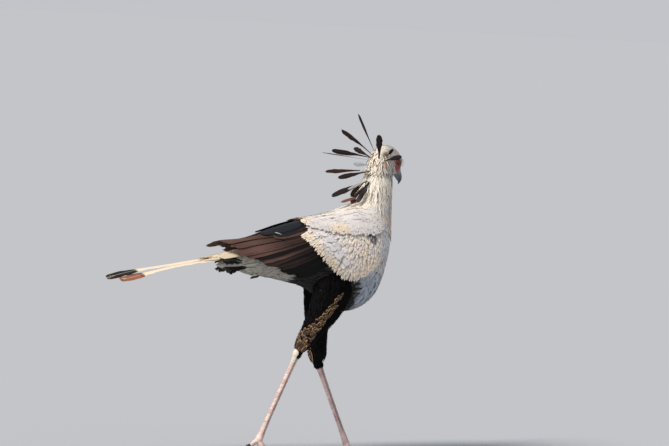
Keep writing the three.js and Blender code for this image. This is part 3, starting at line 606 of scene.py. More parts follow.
def vanes(name, grid, normal, spot, tint, edge, finish_of, thickness=0.25):
    n, rows, columns, _ = grid.shape
    normal = np.broadcast_to(normal if normal.ndim == 4 else normal[:, None, None], grid.shape)
    turned = np.cross(grid[:, 1, 0] - grid[:, 0, 0], grid[:, 0, 1] - grid[:, 0, 0])
    if np.mean(np.sum(turned * normal[:, 0, 0], -1)) < 0:
        grid, normal = grid[:, :, ::-1], normal[:, :, ::-1]
    under = grid[:, 1:-1, 1:-1] - thickness * normal[:, 1:-1, 1:-1]
    points = np.concatenate([grid.reshape(n, -1, 3), under.reshape(n, -1, 3)], 1)
    upper_index = np.arange(rows * columns).reshape(rows, columns)
    under_index = upper_index.copy()
    under_index[1:-1, 1:-1] = rows * columns + np.arange((rows - 2) * (columns - 2)).reshape(rows - 2, -1)
    over = [upper_index[:-1, :-1], upper_index[1:, :-1], upper_index[1:, 1:], upper_index[:-1, 1:]]
    below = [under_index[:-1, :-1], under_index[:-1, 1:], under_index[1:, 1:], under_index[1:, :-1]]
    quads = np.concatenate([np.stack(over, -1).reshape(-1, 4), np.stack(below, -1).reshape(-1, 4)])
    count = points.shape[1]
    faces = (quads[None] + count * np.arange(n)[:, None, None]).reshape(-1, 4)
    mesh = bpy.data.meshes.new(name)
    mesh.from_pydata(place(points.reshape(-1, 3)), [], faces)
    u, v = np.meshgrid(np.linspace(0, 1, columns), np.linspace(0, 1, rows))
    local = np.stack([u, v], -1)
    local = np.concatenate([local.reshape(-1, 2), local[1:-1, 1:-1].reshape(-1, 2)])
    corner = np.empty(len(mesh.loops), np.int32)
    mesh.loops.foreach_get("vertex_index", corner)
    for title, values in (
        ("Vane", np.broadcast_to(local, (n, count, 2))),
        ("OFBake", spot[:, None] + BAKE_PATCH * (local - 0.5)),
    ):
        layer = mesh.uv_layers.new(name=title)
        layer.data.foreach_set("uv", values.reshape(-1, 2)[corner].ravel())
    for title, values in (("Tint", tint), ("Edge", edge)):
        layer = mesh.attributes.new(title, "FLOAT_COLOR", "POINT")
        colour = np.ones((n, count, 4))
        colour[..., :3] = np.broadcast_to(values, (n, 3))[:, None]
        layer.data.foreach_set("color", colour.ravel())
    rim = np.full((rows, columns), True)
    rim[1:-1, 1:-1] = False
    rim = np.tile(np.concatenate([rim.ravel(), np.full(count - rows * columns, False)]), n)
    ends = np.empty(2 * len(mesh.edges), np.int32)
    mesh.edges.foreach_get("vertices", ends)
    sharp = mesh.attributes.new("sharp_edge", "BOOLEAN", "EDGE")
    sharp.data.foreach_set("value", rim[ends].reshape(-1, 2).all(1))
    mesh.polygons.foreach_set("use_smooth", np.full(len(mesh.polygons), True))
    mesh.materials.append(finish_of)
    coat = bpy.data.objects.new(name, mesh)
    bpy.context.collection.objects.link(coat)
    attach(coat, "root")
    FINISH_SLOTS.get(finish_of.name, "contour_feathers")
    return coat


def new_group(name, inputs, outputs):
    tree = bpy.data.node_groups.new(name, "ShaderNodeTree")
    for title, kind, value in inputs:
        made = tree.interface.new_socket(title, in_out="INPUT", socket_type="NodeSocket" + kind)
        made.default_value = value
    for title, kind in outputs:
        tree.interface.new_socket(title, in_out="OUTPUT", socket_type="NodeSocket" + kind)
    return tree, tree.nodes.new("NodeGroupInput"), tree.nodes.new("NodeGroupOutput")


# Vane marks: the shaft down the middle, the slanting barbs and the fringe at the edge and tip of each
# feather.
vane_marks, given, put = new_group(
    "vane_marks",
    [("Barbs", "Float", 30), ("Fringe from", "Float", 0.7)],
    [("Shaft", "Float"), ("Barb", "Float"), ("Fringe", "Float")],
)
add, calc, feed = nodes_of(vane_marks)
uv = add("SeparateXYZ", {0: add("UVMap", uv_map="Vane")})
aside = calc("ABSOLUTE", calc("SUBTRACT", uv.outputs["X"], 0.5))
slant = calc("MULTIPLY_ADD", aside, -0.5, uv.outputs["Y"])
phase = calc("MULTIPLY", calc("MULTIPLY", slant, given.outputs["Barbs"]), 2 * pi)
reach = calc("MAXIMUM", calc("MULTIPLY", aside, 2.0), uv.outputs["Y"])
feed(put, {
    "Shaft": add("MapRange", {0: aside, 1: 0.035, 2: 0.015}, clamp=True),
    "Barb": add("MapRange", {0: calc("SINE", phase), 1: -1.0, 2: 1.0}),
    "Fringe": add("MapRange", {0: reach, 1: given.outputs["Fringe from"], 2: 1.0}, clamp=True),
})


def fill_ramp(ramp, stops):
    for k, (at, colour) in enumerate(stops):
        stop = ramp.color_ramp.elements[k] if k < 2 else ramp.color_ramp.elements.new(at)
        stop.position, stop.color = at, (*srgb(*colour), 1)
    return ramp


def banded(add, calc, bands):
    uv = add("UVMap", uv_map="Vane")
    ragged_end = add("TexNoise", {"Vector": uv, "Scale": 26, "Detail": 3})
    along = add("SeparateXYZ", {0: uv}).outputs["Y"]
    return fill_ramp(add("ValToRGB", {0: calc("MULTIPLY_ADD", ragged_end, 0.035, along)}), bands)


def feather_finish(name, barbs=24, fringe_from=0.7, fringe=0.8, shaft=(0.5, 0.45, 0.4), shaft_share=0.3,
                   depth=0.25, roughness=0.85, sheen=0.06, specular=0.15, bands=(), root_shade=()):
    made, add, calc, shade = material(name)
    marks = add("Group", {"Barbs": barbs, "Fringe from": fringe_from}, node_tree=vane_marks)
    if bands:
        vane = banded(add, calc, bands)
    else:
        tint, edge = (add("Attribute", attribute_name=title).outputs["Color"] for title in ("Tint", "Edge"))
        share = calc("MULTIPLY", marks.outputs["Fringe"], fringe)
        vane = add("Mix", {0: share, 6: tint, 7: edge}, data_type="RGBA").outputs[2]
    lines = add("MapRange", {0: marks.outputs["Barb"], 3: 1 - depth, 4: 1 + 0.3 * depth})
    barbed = add("VectorMath", {0: vane, "Scale": lines}, operation="SCALE")
    quill = calc("MULTIPLY", marks.outputs["Shaft"], shaft_share)
    colour = add("Mix", {0: quill, 6: barbed, 7: (*shaft, 1)}, data_type="RGBA").outputs[2]
    if root_shade:
        along = add("SeparateXYZ", {0: add("UVMap", uv_map="Vane")}).outputs["Y"]
        bright = add("MapRange", {0: along, **dict(enumerate(root_shade, 1))}, clamp=True)
        colour = add("VectorMath", {0: colour, "Scale": bright}, operation="SCALE")
    bump = add("Bump", {"Height": marks.outputs["Barb"], "Strength": 0.35, "Distance": 0.0003})
    shade({
        "Base Color": colour, "Normal": bump, "Roughness": roughness, "Sheen Weight": sheen,
        "Specular IOR Level": specular,
    })
    return made


body_feather = feather_finish("body_feather")


def dress(name, surface, start, end, pitch, seed, length, half, outline=CONTOUR, columns=5, fray=0.3,
          finish_of=body_feather, keep=everywhere, arc=(0, 2 * pi), sink=5, rise=1.5, stray=0.14, droop=0.0,
          colours=plumage, shade=0.08, edges=lambda root, tint: tint * 1.12 + 0.03, camber=0.1, thickness=0.2,
          hug=True):
    s, a, rng = strew(surface, start, end, pitch, seed, keep, arc)
    root, along, normal = frames(surface, s, a)
    n = len(s)
    across = np.cross(normal, along)
    along = along + across * rng.normal(0, stray, n)[:, None] + np.array([0, 0, -droop])
    along = unit(along - normal * np.sum(along * normal, -1, keepdims=True))
    across = np.cross(normal, along)
    size = rng.uniform(0.8, 1.2, n)
    t, share = ragged(rng, n, outline, columns, fray)
    long, wide = length * size, half * size * rng.uniform(0.85, 1.15, n)
    tips, tilt = rise * rng.uniform(0.2, 1.6, n), rng.normal(0, 0.4 * camber, n)
    if hug:
        long, wide, tips, tilt = (v[:, None, None] for v in (long, wide, tips, tilt))
        lift = -sink + (tips + sink) * t ** 0.6 - camber * wide * share ** 2 + tilt * wide * share
        grid = hugging_grid(reaching(surface, (start, end)), s, a, t, share, along, across, long, wide, lift)
    else:
        grid = vane_grid(t, share, root, along, normal, long, wide, sink, tips, camber=camber, tilt=tilt)
    tint = colours(root) * rng.uniform(1 - shade, 1 + shade, n)[:, None]
    edge = np.clip(edges(root, tint), 0, 0.95)
    spot = np.stack([a / (2 * pi), (s - start) / (end - start)], -1) * 0.98 + 0.01
    return vanes(name, grid, normal, spot, tint, edge, finish_of, thickness)


# Breast and belly: broad soft contour feathers. Under the folded wings they aren't needed.
WING_BOX = (-215, 120, 600, 745)


def bare_of_wing(p):
    x, y, z = p.T
    arch = WING_BOX[2] + 0.0011 * (x + 20) ** 2
    return ~((x > WING_BOX[0]) & (x < WING_BOX[1]) & (z > arch) & (z < WING_BOX[3]))


dress("breast_feathers", body_surface, 0.0, NECK_FROM + 1.3, 7.2, 11, 32, 6.6, fray=0.35, keep=bare_of_wing,
      rise=0.9)

# Neck: narrow shaggy plumes, cream-white, pointing down from the head.
dress("neck_feathers", coat_surface, NECK_FROM + 2.9, len(COATED) - 1.02, 4.4, 12, 32, 2.7, PLUME, 3,
      stray=0.22, rise=1.6, shade=0.06, thickness=0.15)

# Folded wings: tiers of pale coverts over the flank, each row hiding the roots of the row below it, and the
# dark flight feathers fanned out behind, the uppermost longest. The left wing mirrors the right with its own
# chances.
MANTLE_EDGE = [[-176, 758], [-123, 737], [-60, 726], [32, 722], [106, 726], [150, 745]]
COVERT_EDGE = [
    [-176, 712], [-147, 681], [-110, 640], [-64, 601], [-27, 575], [4, 568], [38, 575], [72, 595], [112, 629],
    [142, 655],
]
COVERT_LAY = [200, 214, 226, 238, 248, 256, 262, 264, 262, 258]
COVERT_SPAN, TUCK = (-200, 158), 12
VANE_TIP = np.array([(0, 0.5), (0.3, 0.9), (0.6, 1), (0.82, 0.9), (0.94, 0.6), (1, 0.25)])


def on_flank(x, z, lift):
    low, high = np.zeros_like(x), np.full_like(x, len(COATED) - 1)
    for _ in range(24):
        s = (low + high) / 2
        cx, cz, lean = np.moveaxis(between(COATED, s), -1, 0)[:3]
        turn = np.radians(lean)
        ahead = (x - cx) * np.cos(turn) + (z - cz) * np.sin(turn) > 0
        low, high = np.where(ahead, s, low), np.where(ahead, high, s)
    cx, cz, lean, _, up, down = np.moveaxis(between(COATED, low), -1, 0)
    turn = np.radians(lean)
    climb = (z - cz) * np.cos(turn) - (x - cx) * np.sin(turn)
    sine = np.clip(climb / (np.where(climb > 0, up, down) + lift), -0.985, 0.985)
    a = pi - np.arcsin(sine)
    return coat_surface(low, a, lift), np.stack([a / (2 * pi), low / (len(COATED) - 1)], -1)


def flank_vanes(name, root, lay, length, half, lifts, tint, glow, finish_of, seed, side, outline=VANE_TIP,
                columns=5, fray=0.4, tilt=0.4, camber=0.4, thickness=0.3):
    rng = np.random.default_rng(seed + (side > 0))
    n = len(root)
    t, share = ragged(rng, n, outline, columns, fray)
    lay = lay + rng.normal(0, radians(1.5), n)
    dx, dz = np.cos(lay)[:, None, None], np.sin(lay)[:, None, None]
    length, half = (
        np.broadcast_to(v, n)[:, None, None] * rng.uniform(0.95, 1.05, (n, 1, 1)) for v in (length, half)
    )
    x = root[:, 0][:, None, None] + dx * length * t - dz * half * share
    z = root[:, 1][:, None, None] + dz * length * t + dx * half * share
    low, high = (np.broadcast_to(v, n)[:, None, None] for v in lifts)
    lift = low + (high - low) * t ** 0.8 + tilt * share + camber * (1 - share ** 2)
    lift = lift + rng.normal(0, 0.25, (n, 1, 1))
    grid, spot = on_flank(x, z, lift)
    above, _ = on_flank(x, z, lift + 1)
    normal = unit((above - grid).mean((1, 2)))
    flip = np.array([1.0, 1.0 if side < 0 else -1.0, 1.0])
    edge = np.clip(tint * glow, 0, 0.9)
    return vanes(name, grid * flip, normal * flip, spot[:, 0, columns // 2], tint, edge, finish_of, thickness)


def arc_lengths(rows):
    return np.concatenate([[0], np.cumsum(np.linalg.norm(np.diff(rows, axis=0), axis=1))])


def along_edge(edge, ends, count):
    steps = arc_lengths(edge)
    shares = ends[0] + (ends[1] - ends[0]) * (np.arange(count) + 0.5) / count
    s = np.interp(shares * steps[-1], steps, np.arange(len(edge)))
    return between(edge, s), s


def heading(lay):
    return np.stack([np.cos(lay), np.sin(lay)], -1)


def lay_at(lays, s):
    return np.radians(between(np.array(lays)[:, None], s)[:, 0])


def laid(roots, tips):
    ways = tips - roots
    return roots, np.arctan2(ways[:, 1], ways[:, 0]), np.linalg.norm(ways, axis=1)


covert_finish = feather_finish("covert_feather", barbs=22, fringe_from=0.72, fringe=0.9, depth=0.18)
# Each tier: how far its tips lie inside the lower edge, count, length, half width, share of grey.
COVERT_TIERS = [
    (-2, 62, 42, 4.6, 0.0), (6, 58, 42, 4.8, 0.0), (15, 54, 44, 5, 0.1), (25, 46, 44, 5.6, 0.35),
    (36, 42, 44, 5.6, 0.5), (47, 40, 42, 5.4, 0.5), (57, 38, 40, 5.2, 0.45), (67, 38, 38, 5.2, 0.4),
    (77, 38, 38, 5, 0.4), *((inwards, 38, 36, 5, 0.4) for inwards in range(87, 148, 10)),
]
# Painted shadow: a dark grey spot on the coverts at the front of the mantle's edge stands for the shadow in
# the gap under the scapulars.
SHADOW_GAP_AT, SHADOW_GAP_RADIUS = (88, 736), 13
# The broad grey plates behind the coverts: their tips, length and half widths.
SCALLOPS = [[-108, 716], [-87, 694], [-76, 667], [-55, 640], [-26, 619]]
SCALLOP_LENGTH, SCALLOP_HALF = 50, np.array([19, 20, 18, 16, 14])
for side, word in SIDES:
    rng = np.random.default_rng(40 + side)
    roots, lays, sizes, greys = [], [], [], []
    for inwards, count, length, half, grey in COVERT_TIERS:
        spots, s = along_edge(COVERT_EDGE, (0.0, 1.0), count)
        lay = lay_at(COVERT_LAY, s) + rng.normal(0, 0.07, count)
        tips = spots + rng.normal(0, 2.0, spots.shape) - heading(lay) * inwards
        broad = 0.6 * soft(inwards, 18, 26) * soft(tips[:, 0], -5, -30)
        keep = tips[:, 1] < np.interp(tips[:, 0], *np.array(MANTLE_EDGE).T) + TUCK
        keep &= (tips[:, 0] > COVERT_SPAN[0]) & (tips[:, 0] < COVERT_SPAN[1])
        keep &= rng.random(count) > 0.4 * broad
        roots.append((tips - heading(lay) * length)[keep])
        lays.append(lay[keep])
        sizes.append(np.stack([np.full(count, length), half * (1 + broad)], -1)[keep])
        greys.append(np.maximum(grey, 1.6 * broad)[keep])
    roots, lays, sizes, greys = map(np.concatenate, (roots, lays, sizes, greys))
    n = len(roots)
    cream = mix(srgb(232, 219, 203), srgb(236, 214, 184), rng.random(n))
    grey = mix(srgb(202, 200, 204), srgb(234, 229, 226), rng.random(n))
    tint = mix(cream, grey, np.clip(greys + rng.normal(0, 0.3, n), 0, 1))
    tint = tint * rng.uniform(0.92, 1.06, n)[:, None]
    tint = mix(tint, srgb(200, 206, 215), 0.7 * soft(roots[:, 0], 95, 140))
    # Painted shade: the lowest coverts turn bluish grey, where the lower edge of the wing lies in shade.
    tint = mix(tint, srgb(176, 182, 192), 0.6 * soft(roots[:, 1] - 40, 585, 560))
    # Painted shadow: the coverts round this spot are darkened to grey, for the shadow of the gap under the
    # scapulars.
    from_shadow_gap = np.hypot(*(roots - SHADOW_GAP_AT).T)
    tint = mix(tint, srgb(96, 100, 106), soft(from_shadow_gap, SHADOW_GAP_RADIUS + 5, SHADOW_GAP_RADIUS))
    flank_vanes("coverts_" + word, roots, lays, sizes[:, 0], sizes[:, 1], (-6.0, 2.0), tint, 1.08,
                covert_finish, 50, side, camber=0.35, thickness=0.2)
    tips = np.array(SCALLOPS, float)
    lay = np.radians(np.linspace(228, 244, len(tips)))
    tint = mix(srgb(202, 200, 204), srgb(216, 212, 212), rng.random(len(tips)))
    flank_vanes("scallops_" + word, tips - heading(lay) * SCALLOP_LENGTH, lay, SCALLOP_LENGTH, SCALLOP_HALF,
                (-4.0, 3.2), tint, 1.05, covert_finish, 55, side, columns=11, fray=0.2, tilt=1.0)

FLIGHT_ROOTS = [[-140, 742], [-48, 652]]
FLIGHT_TIPS = [
    [-455, 680], [-420, 668], [-384, 652], [-348, 634], [-316, 621], [-286, 611], [-256, 600], [-227, 592],
    [-198, 586], [-168, 580],
]
FLIGHT_VANE = np.array([
    (0, 0.4), (0.12, 0.7), (0.24, 0.86), (0.36, 0.94), (0.48, 0.98), (0.58, 1), (0.67, 1), (0.75, 0.98),
    (0.82, 0.93), (0.88, 0.84), (0.93, 0.7), (0.97, 0.48), (1, 0.2),
])
flight_finish = feather_finish(
    "flight_feather", barbs=70, fringe_from=0.85, fringe=0.5, shaft=(0.03, 0.025, 0.022), shaft_share=0.6,
    depth=0.3, roughness=0.6, sheen=0.0, root_shade=(0.25, 0.52, 0.3, 1.0),
)
# Painted light: the flight feathers share one brown-black colour, given here as a sunlit brown copy (b), a
# half-shaded copy (d) and a shaded black copy (k), set feather by feather from the top down. The darker roots
# set by root_shade are painted shade under the coverts.
FLIGHT_LIT_AND_SHADED = {"b": (92, 67, 60), "d": (58, 44, 41), "k": (16, 14, 15)}
FLIGHT_SHADING_ORDER = "bbbbbbkbdkddkkkkk"
tertial_finish = feather_finish(
    "tertial_feather", barbs=60, fringe_from=0.9, fringe=0.4, shaft=(0.03, 0.03, 0.034), shaft_share=0.6,
    depth=0.2, roughness=0.6, sheen=0.0,
)
TERTIAL_ROOTS = np.array([[-142, 758], [-142, 751], [-140, 744], [-136, 735]], float)
TERTIAL_TIPS = np.array([[-300, 719], [-278, 715], [-256, 711], [-262, 699]], float)
TERTIAL_HALF, TERTIAL_LIFT = np.array([17, 16, 14, 15]), np.array([4.5, 3.4, 2.3, 1.0])
# The first three tertials are black; the fourth is given the sunlit brown of the flight feathers, painted
# light.
TERTIAL_COLOURS = np.array([srgb(25, 27, 34), srgb(20, 22, 28), srgb(25, 25, 30), srgb(78, 57, 50)])
for side, word in SIDES:
    count = len(FLIGHT_SHADING_ORDER)
    share = np.linspace(0, 1, count)
    tips = between(FLIGHT_TIPS, share * (len(FLIGHT_TIPS) - 1))
    roots = mix(np.array(FLIGHT_ROOTS[0], float), np.array(FLIGHT_ROOTS[1], float), share)
    dark = np.array([srgb(*FLIGHT_LIT_AND_SHADED[mark]) for mark in FLIGHT_SHADING_ORDER])
    dark = dark * np.random.default_rng(60).uniform(0.85, 1.1, count)[:, None]
    lifts = -1.8 - 11 * share
    flank_vanes("flight_feathers_" + word, *laid(roots, tips), 15 + 5 * share, (lifts, lifts), dark, 1.25,
                flight_finish, 61, side, FLIGHT_VANE, columns=7, fray=0.16, tilt=2.6, camber=0.5)
    flank_vanes("tertials_" + word, *laid(TERTIAL_ROOTS, TERTIAL_TIPS), TERTIAL_HALF,
                (TERTIAL_LIFT - 6, TERTIAL_LIFT), TERTIAL_COLOURS, 1.3, tertial_finish, 62, side, FLIGHT_VANE,
                fray=0.1, tilt=1.5, camber=0.8)

# Mantle: the pale cape of back feathers between the neck and the wings; its lower rows, the scapulars, hang
# over the top of each wing with a shadow under their tips.
def on_mantle(p):
    x, y, z = p.T
    return (z > np.interp(x, *np.array(MANTLE_EDGE).T) - 2) & (x > -98 - 0.4 * np.abs(y))


dress("mantle_feathers", coat_surface, 3.6, NECK_FROM + 3.2, 6.4, 13, 36, 6.5, fray=0.35, keep=on_mantle,
      sink=4, rise=1.0, shade=0.05, camber=0.05)
scapular_finish = feather_finish("scapular_feather", barbs=20, fringe_from=0.75, fringe=0.8, depth=0.18)
SCAPULAR_LAY = [202, 204, 210, 218, 226, 232]
# Each tier: how far its tips lie inside the edge, count, length, lift of the tips.
SCAPULAR_TIERS = [
    (-3, 42, 46, 7.2), (4, 40, 46, 6.4), (12, 40, 44, 5.4), (21, 38, 42, 4.4), (30, 36, 40, 3.4),
]
for side, word in SIDES:
    rng = np.random.default_rng(70 + side)
    for tier, (inwards, count, length, lift) in enumerate(SCAPULAR_TIERS):
        spots, s = along_edge(MANTLE_EDGE, (0.06, 0.88), count)
        lay = lay_at(SCAPULAR_LAY, s)
        roots = spots + rng.normal(0, 2, spots.shape) - heading(lay) * (inwards + length)
        tint = plumage(np.insert(roots, 1, 0, axis=1)) * rng.uniform(0.95, 1.05, count)[:, None]
        flank_vanes("scapulars_%d_%s" % (tier, word), roots, lay, length, 7, (-5.0, lift), tint, 1.05,
                    scapular_finish, 71 + tier, side, tilt=0.5)

# Tail: two very long feathers in the middle, one banded black and one tipped with rust, their ends turned on
# edge by the wind, over four shorter pairs tipped black.
LONG_TAIL = {
    "right": [[-330, -12, 645], [-370, -12, 637], [-475, -12, 621], [-576, -12, 605], [-648, -12, 590],
              [-705, -12, 575], [-754, -12, 562], [-797, -12, 555]],
    "left": [[-330, 12, 652], [-357, 13, 647], [-462, 13, 628], [-567, 12, 610], [-635, 12, 599],
             [-707, 11, 588], [-779, 10, 572], [-834, 10, 557]],
}
LONG_HALF, LONG_TURN = 16, (5, 40)
# The shorter feathers of the right side: tip, half width, turn about the shaft in degrees.
SHORT_PAIRS = [
    ([-445, -27, 629], 20, 36), ([-436, -30, 620], 19, 40), ([-432, -29, 590], 16, 38),
    ([-420, -30, 585], 15, 44),
]
SHORT_ROOT, SHORT_LAYER = [-322, -16, 634], 7
TAIL_VANE = np.array([(t, 0.4 + 0.6 * min(1, t / 0.3)) for t in np.linspace(0, 0.9, 31)]
                     + [(0.93, 0.9), (0.955, 0.76), (0.975, 0.56), (0.99, 0.34), (1, 0.14)])


def tail_look(name, bands, shaft_share=0.35):
    return feather_finish(name, barbs=110, fringe_from=0.92, fringe=0.2, shaft=(0.8, 0.74, 0.66),
                          shaft_share=shaft_share, depth=0.16, roughness=0.7, sheen=0.1, bands=bands)


CREAM, SOOT = (226, 208, 182), (20, 17, 17)
black_band = ((0.0, CREAM), (0.745, CREAM), (0.76, SOOT), (0.965, SOOT), (0.985, (186, 150, 122)))
rust_tip = ((0.0, CREAM), (0.775, CREAM), (0.79, (104, 60, 42)), (0.82, (142, 88, 62)),
            (0.985, (132, 80, 56)), (1.0, (214, 190, 160)))
short_tip = ((0.0, (176, 166, 150)), (0.1, (168, 158, 142)), (0.14, SOOT), (1.0, SOOT))
for side, bands in (("right", rust_tip), ("left", black_band)):
    rng = np.random.default_rng(80 + len(side))
    t, share = ragged(rng, 1, TAIL_VANE, 9, 0.3)
    rows = np.array(LONG_TAIL[side], float)
    steps = arc_lengths(rows)
    at = np.interp(t * steps[-1], steps, np.arange(len(rows)))
    middle = between(rows, at)
    way = unit(between(rows, at + 0.05) - between(rows, at - 0.05))
    slant = np.radians(LONG_TURN[0] + (LONG_TURN[1] - LONG_TURN[0]) * soft(t, 0.7, 0.95))
    face = np.stack([0 * slant, -np.sin(slant), np.cos(slant)], -1)
    across = unit(np.cross(face, way))
    up = np.cross(way, across)
    grid = middle + across * (LONG_HALF * share)[..., None]
    grid -= up * (0.1 * LONG_HALF * share ** 2)[..., None]
    spot = np.array([[0.4 + 0.02 * len(side), 0.9]])
    look = tail_look("long_tail_" + side, bands)
    vanes("long_tail_" + side, grid, up, spot, srgb(*CREAM), srgb(*CREAM), look, 0.35)
short_look = tail_look("short_tail", short_tip, 0.0)
for pair, (tip, half, slant) in enumerate(SHORT_PAIRS):
    for side, word in ((1, "right"), (-1, "left")):
        face = np.array([[0, -side * sin(radians(slant)), cos(radians(slant))]])
        root = np.array([SHORT_ROOT], float) * [1, side, 1] - [0, 0, SHORT_LAYER * pair]
        way = np.array([tip], float) * [1, side, 1] - root
        t, share = ragged(np.random.default_rng(82 + 2 * pair + side), 1, TAIL_VANE[::2], 9, 0.5)
        across = unit(np.cross(face, way))
        up = np.cross(unit(way), across)
        grid = vane_grid(t, share, root, way, up, np.linalg.norm(way), half, 0, 0, camber=0.12, bend=2)
        spot = np.array([[0.2 + 0.1 * pair, 0.5 - 0.15 * side]])
        vanes("short_tail_%d_%s" % (pair, word), grid, up, spot, srgb(*CREAM), srgb(*CREAM), short_look, 0.35)

# Tail coverts: long cream feathers over the root of the tail and shorter whitish ones below it.
def tail_plumes(name, root, tip, normal, half, tint, seed):
    rng = np.random.default_rng(seed)
    n = len(root)
    t, share = ragged(rng, n, CONTOUR, 5, 0.4)
    way = unit(tip - root)
    across = unit(np.cross(normal, way))
    up = np.cross(way, across)
    half = half * rng.uniform(0.8, 1.2, n)
    long = np.linalg.norm(tip - root, axis=1)
    grid = vane_grid(t, share, root, way, up, long, half, 0, 0, camber=0.12, bend=2)
    spot = np.stack([0.5 + root[:, 1] / 120, (root[:, 0] + 450) / 300], -1)
    return vanes(name, grid, up, spot, tint, tint * 1.08, body_feather, 0.2)


rng = np.random.default_rng(14)
n = 190
q, back_share = rng.uniform(-1, 1, n), rng.random(n)
root = np.stack([-275 - 50 * rng.random(n), 34 * q, 660 - 12 * q * q], -1)
tip_x = -368 - 150 * back_share ** 1.4
tip = np.stack([tip_x, (24 - 8 * back_share) * q + rng.normal(0, 2, n),
                659 + (tip_x + 361) * 0.215 - 10 * q * q], -1)
tint = mix(srgb(*CREAM), srgb(206, 190, 166), 0.8 * rng.random(n))
tail_plumes("tail_coverts", root, tip, np.stack([0.1 + 0 * q, 1.1 * q, 1 + 0 * q], -1), 6, tint, 15)
s, a, rng = strew(tail_surface, 0.0, 1.3, 5.6, 16, lambda p: p[:, 2] < 634)
root, along, normal = frames(tail_surface, s, a, -4)
reach = np.where(np.abs(root[:, 2] - 606) < 10, 84, 42) * rng.uniform(0.7, 1.15, len(s))
tip = root + unit(along + [-0.6, 0, -0.05]) * reach[:, None] + normal * 6
tint = srgb(186, 181, 168) * rng.uniform(0.9, 1.06, len(s))[:, None]
tail_plumes("undertail_coverts", root, tip, normal, 6, tint, 17)
for name, root, tip, half, tint in (
    ("undertail_spot", [-294, -27, 575], [-331, -31, 567], 6, SOOT),
    ("bare_quill", [-244, -72, 713], [-270, -70, 720], 1.6, (214, 208, 202)),
):
    tail_plumes(name, np.array([root], float), np.array([tip], float), np.array([[0, -1, 0.4]]), half,
                srgb(*tint)[None], 18)

# Thighs: black trousers of short soft feathers, a band of brown ones with pale fringes slanting down the
# outside to the ankle, and a cuff over the top of each shank.
trouser_finish = feather_finish("trouser_feather", barbs=16, fringe_from=0.55, fringe=0.85, shaft_share=0.03,
                                depth=0.2, sheen=0.0, specular=0.04)
# The band on the right thigh: height, x of its middle, half width.
BROWN_BAND = np.array([
    [335, -166, 24], [376, -134, 23], [400, -117, 19], [448, -79, 12], [466, -60, 8], [500, -38, 5],
    [530, -20, 3],
])


def brown_share(p, side):
    x, y, z = p.T
    stations = np.array([at for at, _, _ in THIGH[side]], float)[::-1]
    lean = np.interp(z, BROWN_BAND[:, 0], BROWN_BAND[:, 1])
    wide = np.interp(z, BROWN_BAND[:, 0], BROWN_BAND[:, 2])
    right_axis = np.interp(z, *np.array([at for at, _, _ in THIGH["right"]], float)[::-1].T[[2, 0]])
    middle = np.interp(z, stations[:, 2], stations[:, 0]) + lean - right_axis
    outer = np.abs(y) > np.interp(z, stations[:, 2], np.abs(stations[:, 1])) - 8
    return soft(np.abs(x - middle), wide + 5, wide - 3) * outer * soft(z, 540, 500)


speckled_finish = feather_finish("speckled_feather", barbs=12, fringe_from=0.62, fringe=1.0, depth=0.1,
                                 sheen=0.0)


def plain(*values):
    return lambda points: np.broadcast_to(srgb(*values), points.shape)


def pale_fringes(points, tint):
    return mix(tint, srgb(236, 194, 146), np.random.default_rng(45).choice([0.25, 0.6, 1.0], len(points)))


sooty = plain(12, 11, 12)
for side in THIGH:
    last = len(THIGH[side]) - 1.05
    dress("trousers_" + side, thigh_surface[side], 0.3, last, 6.2, 20 + len(side), 24, 5.4,
          finish_of=trouser_finish, rise=1.2, shade=0.25, camber=0.15, colours=sooty,
          edges=lambda points, tint: tint * 1.1)
    dress("speckled_band_" + side, thigh_surface[side], 0.9, last, 6.6, 40 + len(side), 17, 4.6, columns=7,
          fray=0.15, finish_of=speckled_finish, keep=lambda points: brown_share(points, side) > 0.5, sink=3,
          rise=3.2, shade=0.3, stray=0.16, camber=0.3, colours=plain(50, 34, 27), edges=pale_fringes)
for side, arc in (("right", (0.5 * pi, 1.5 * pi)), ("left", (0, 2 * pi))):
    dress("cuff_" + side, shank_surface[side], 0.0, 1.9, 2.8, 60, 19, 3.6, finish_of=trouser_finish, arc=arc,
          sink=2.5, rise=2.2, stray=0.15, camber=0.15, colours=sooty, edges=lambda points, tint: tint * 1.3)

# Crest: long spoon-shaped black feathers from the nape, blown up and forward by the wind.
# Each feather: root, tip, half width, turn about the shaft in degrees, bend.
CREST = [
    [[130, 5, 985], [68, 20, 1109], 4.8, -35, 4], [[108, 2, 982], [-5, 0, 1053], 10, 20, 5],
    [[103, -5, 966], [-50, -20, 986], 9.5, 15, 6], [[96, 2, 958], [-79, -10, 978], 1.8, 10, 4],
    [[108, 9, 970], [78, 55, 993], 9.5, -30, -4], [[103, -9, 941], [32, -30, 945], 9, 5, 3],
    [[104, 4, 922], [-64, -10, 916], 8, 25, 4], [[101, -12, 920], [-38, -50, 898], 9, 20, 5],
    [[130, -27, 968], [112, -50, 1044], 12.5, -28, 2], [[160, -29, 970], [171, -46, 998], 6, -10, -4],
    [[154, -33, 959], [197, -60, 974], 9, -20, 3], [[104, -12, 890], [-41, -20, 836], 10, 25, 6],
    [[104, -16, 890], [26, -34, 814], 12, 0, 5], [[102, -20, 884], [46, -40, 818], 9, 15, 3],
    [[104, 8, 888], [60, 26, 834], 11, 10, -4], [[100, -20, 868], [52, -42, 838], 8, 10, 3],
    [[98, -22, 848], [-14, -36, 819], 5.5, 10, 4], [[106, -18, 900], [16, -28, 860], 4.5, 10, 6],
    [[102, -22, 876], [44, -34, 828], 4.5, 10, 4], [[108, -15, 910], [66, -12, 927], 5, 10, 2],
]
CREST_COLOURS = {5: (216, 218, 220), 3: (104, 90, 82), 6: (60, 34, 26), 12: (56, 47, 49), 13: (70, 61, 63),
                 15: (52, 44, 46), 16: (142, 94, 68), 17: (222, 214, 202), 18: (216, 208, 196),
                 19: (222, 216, 206)}
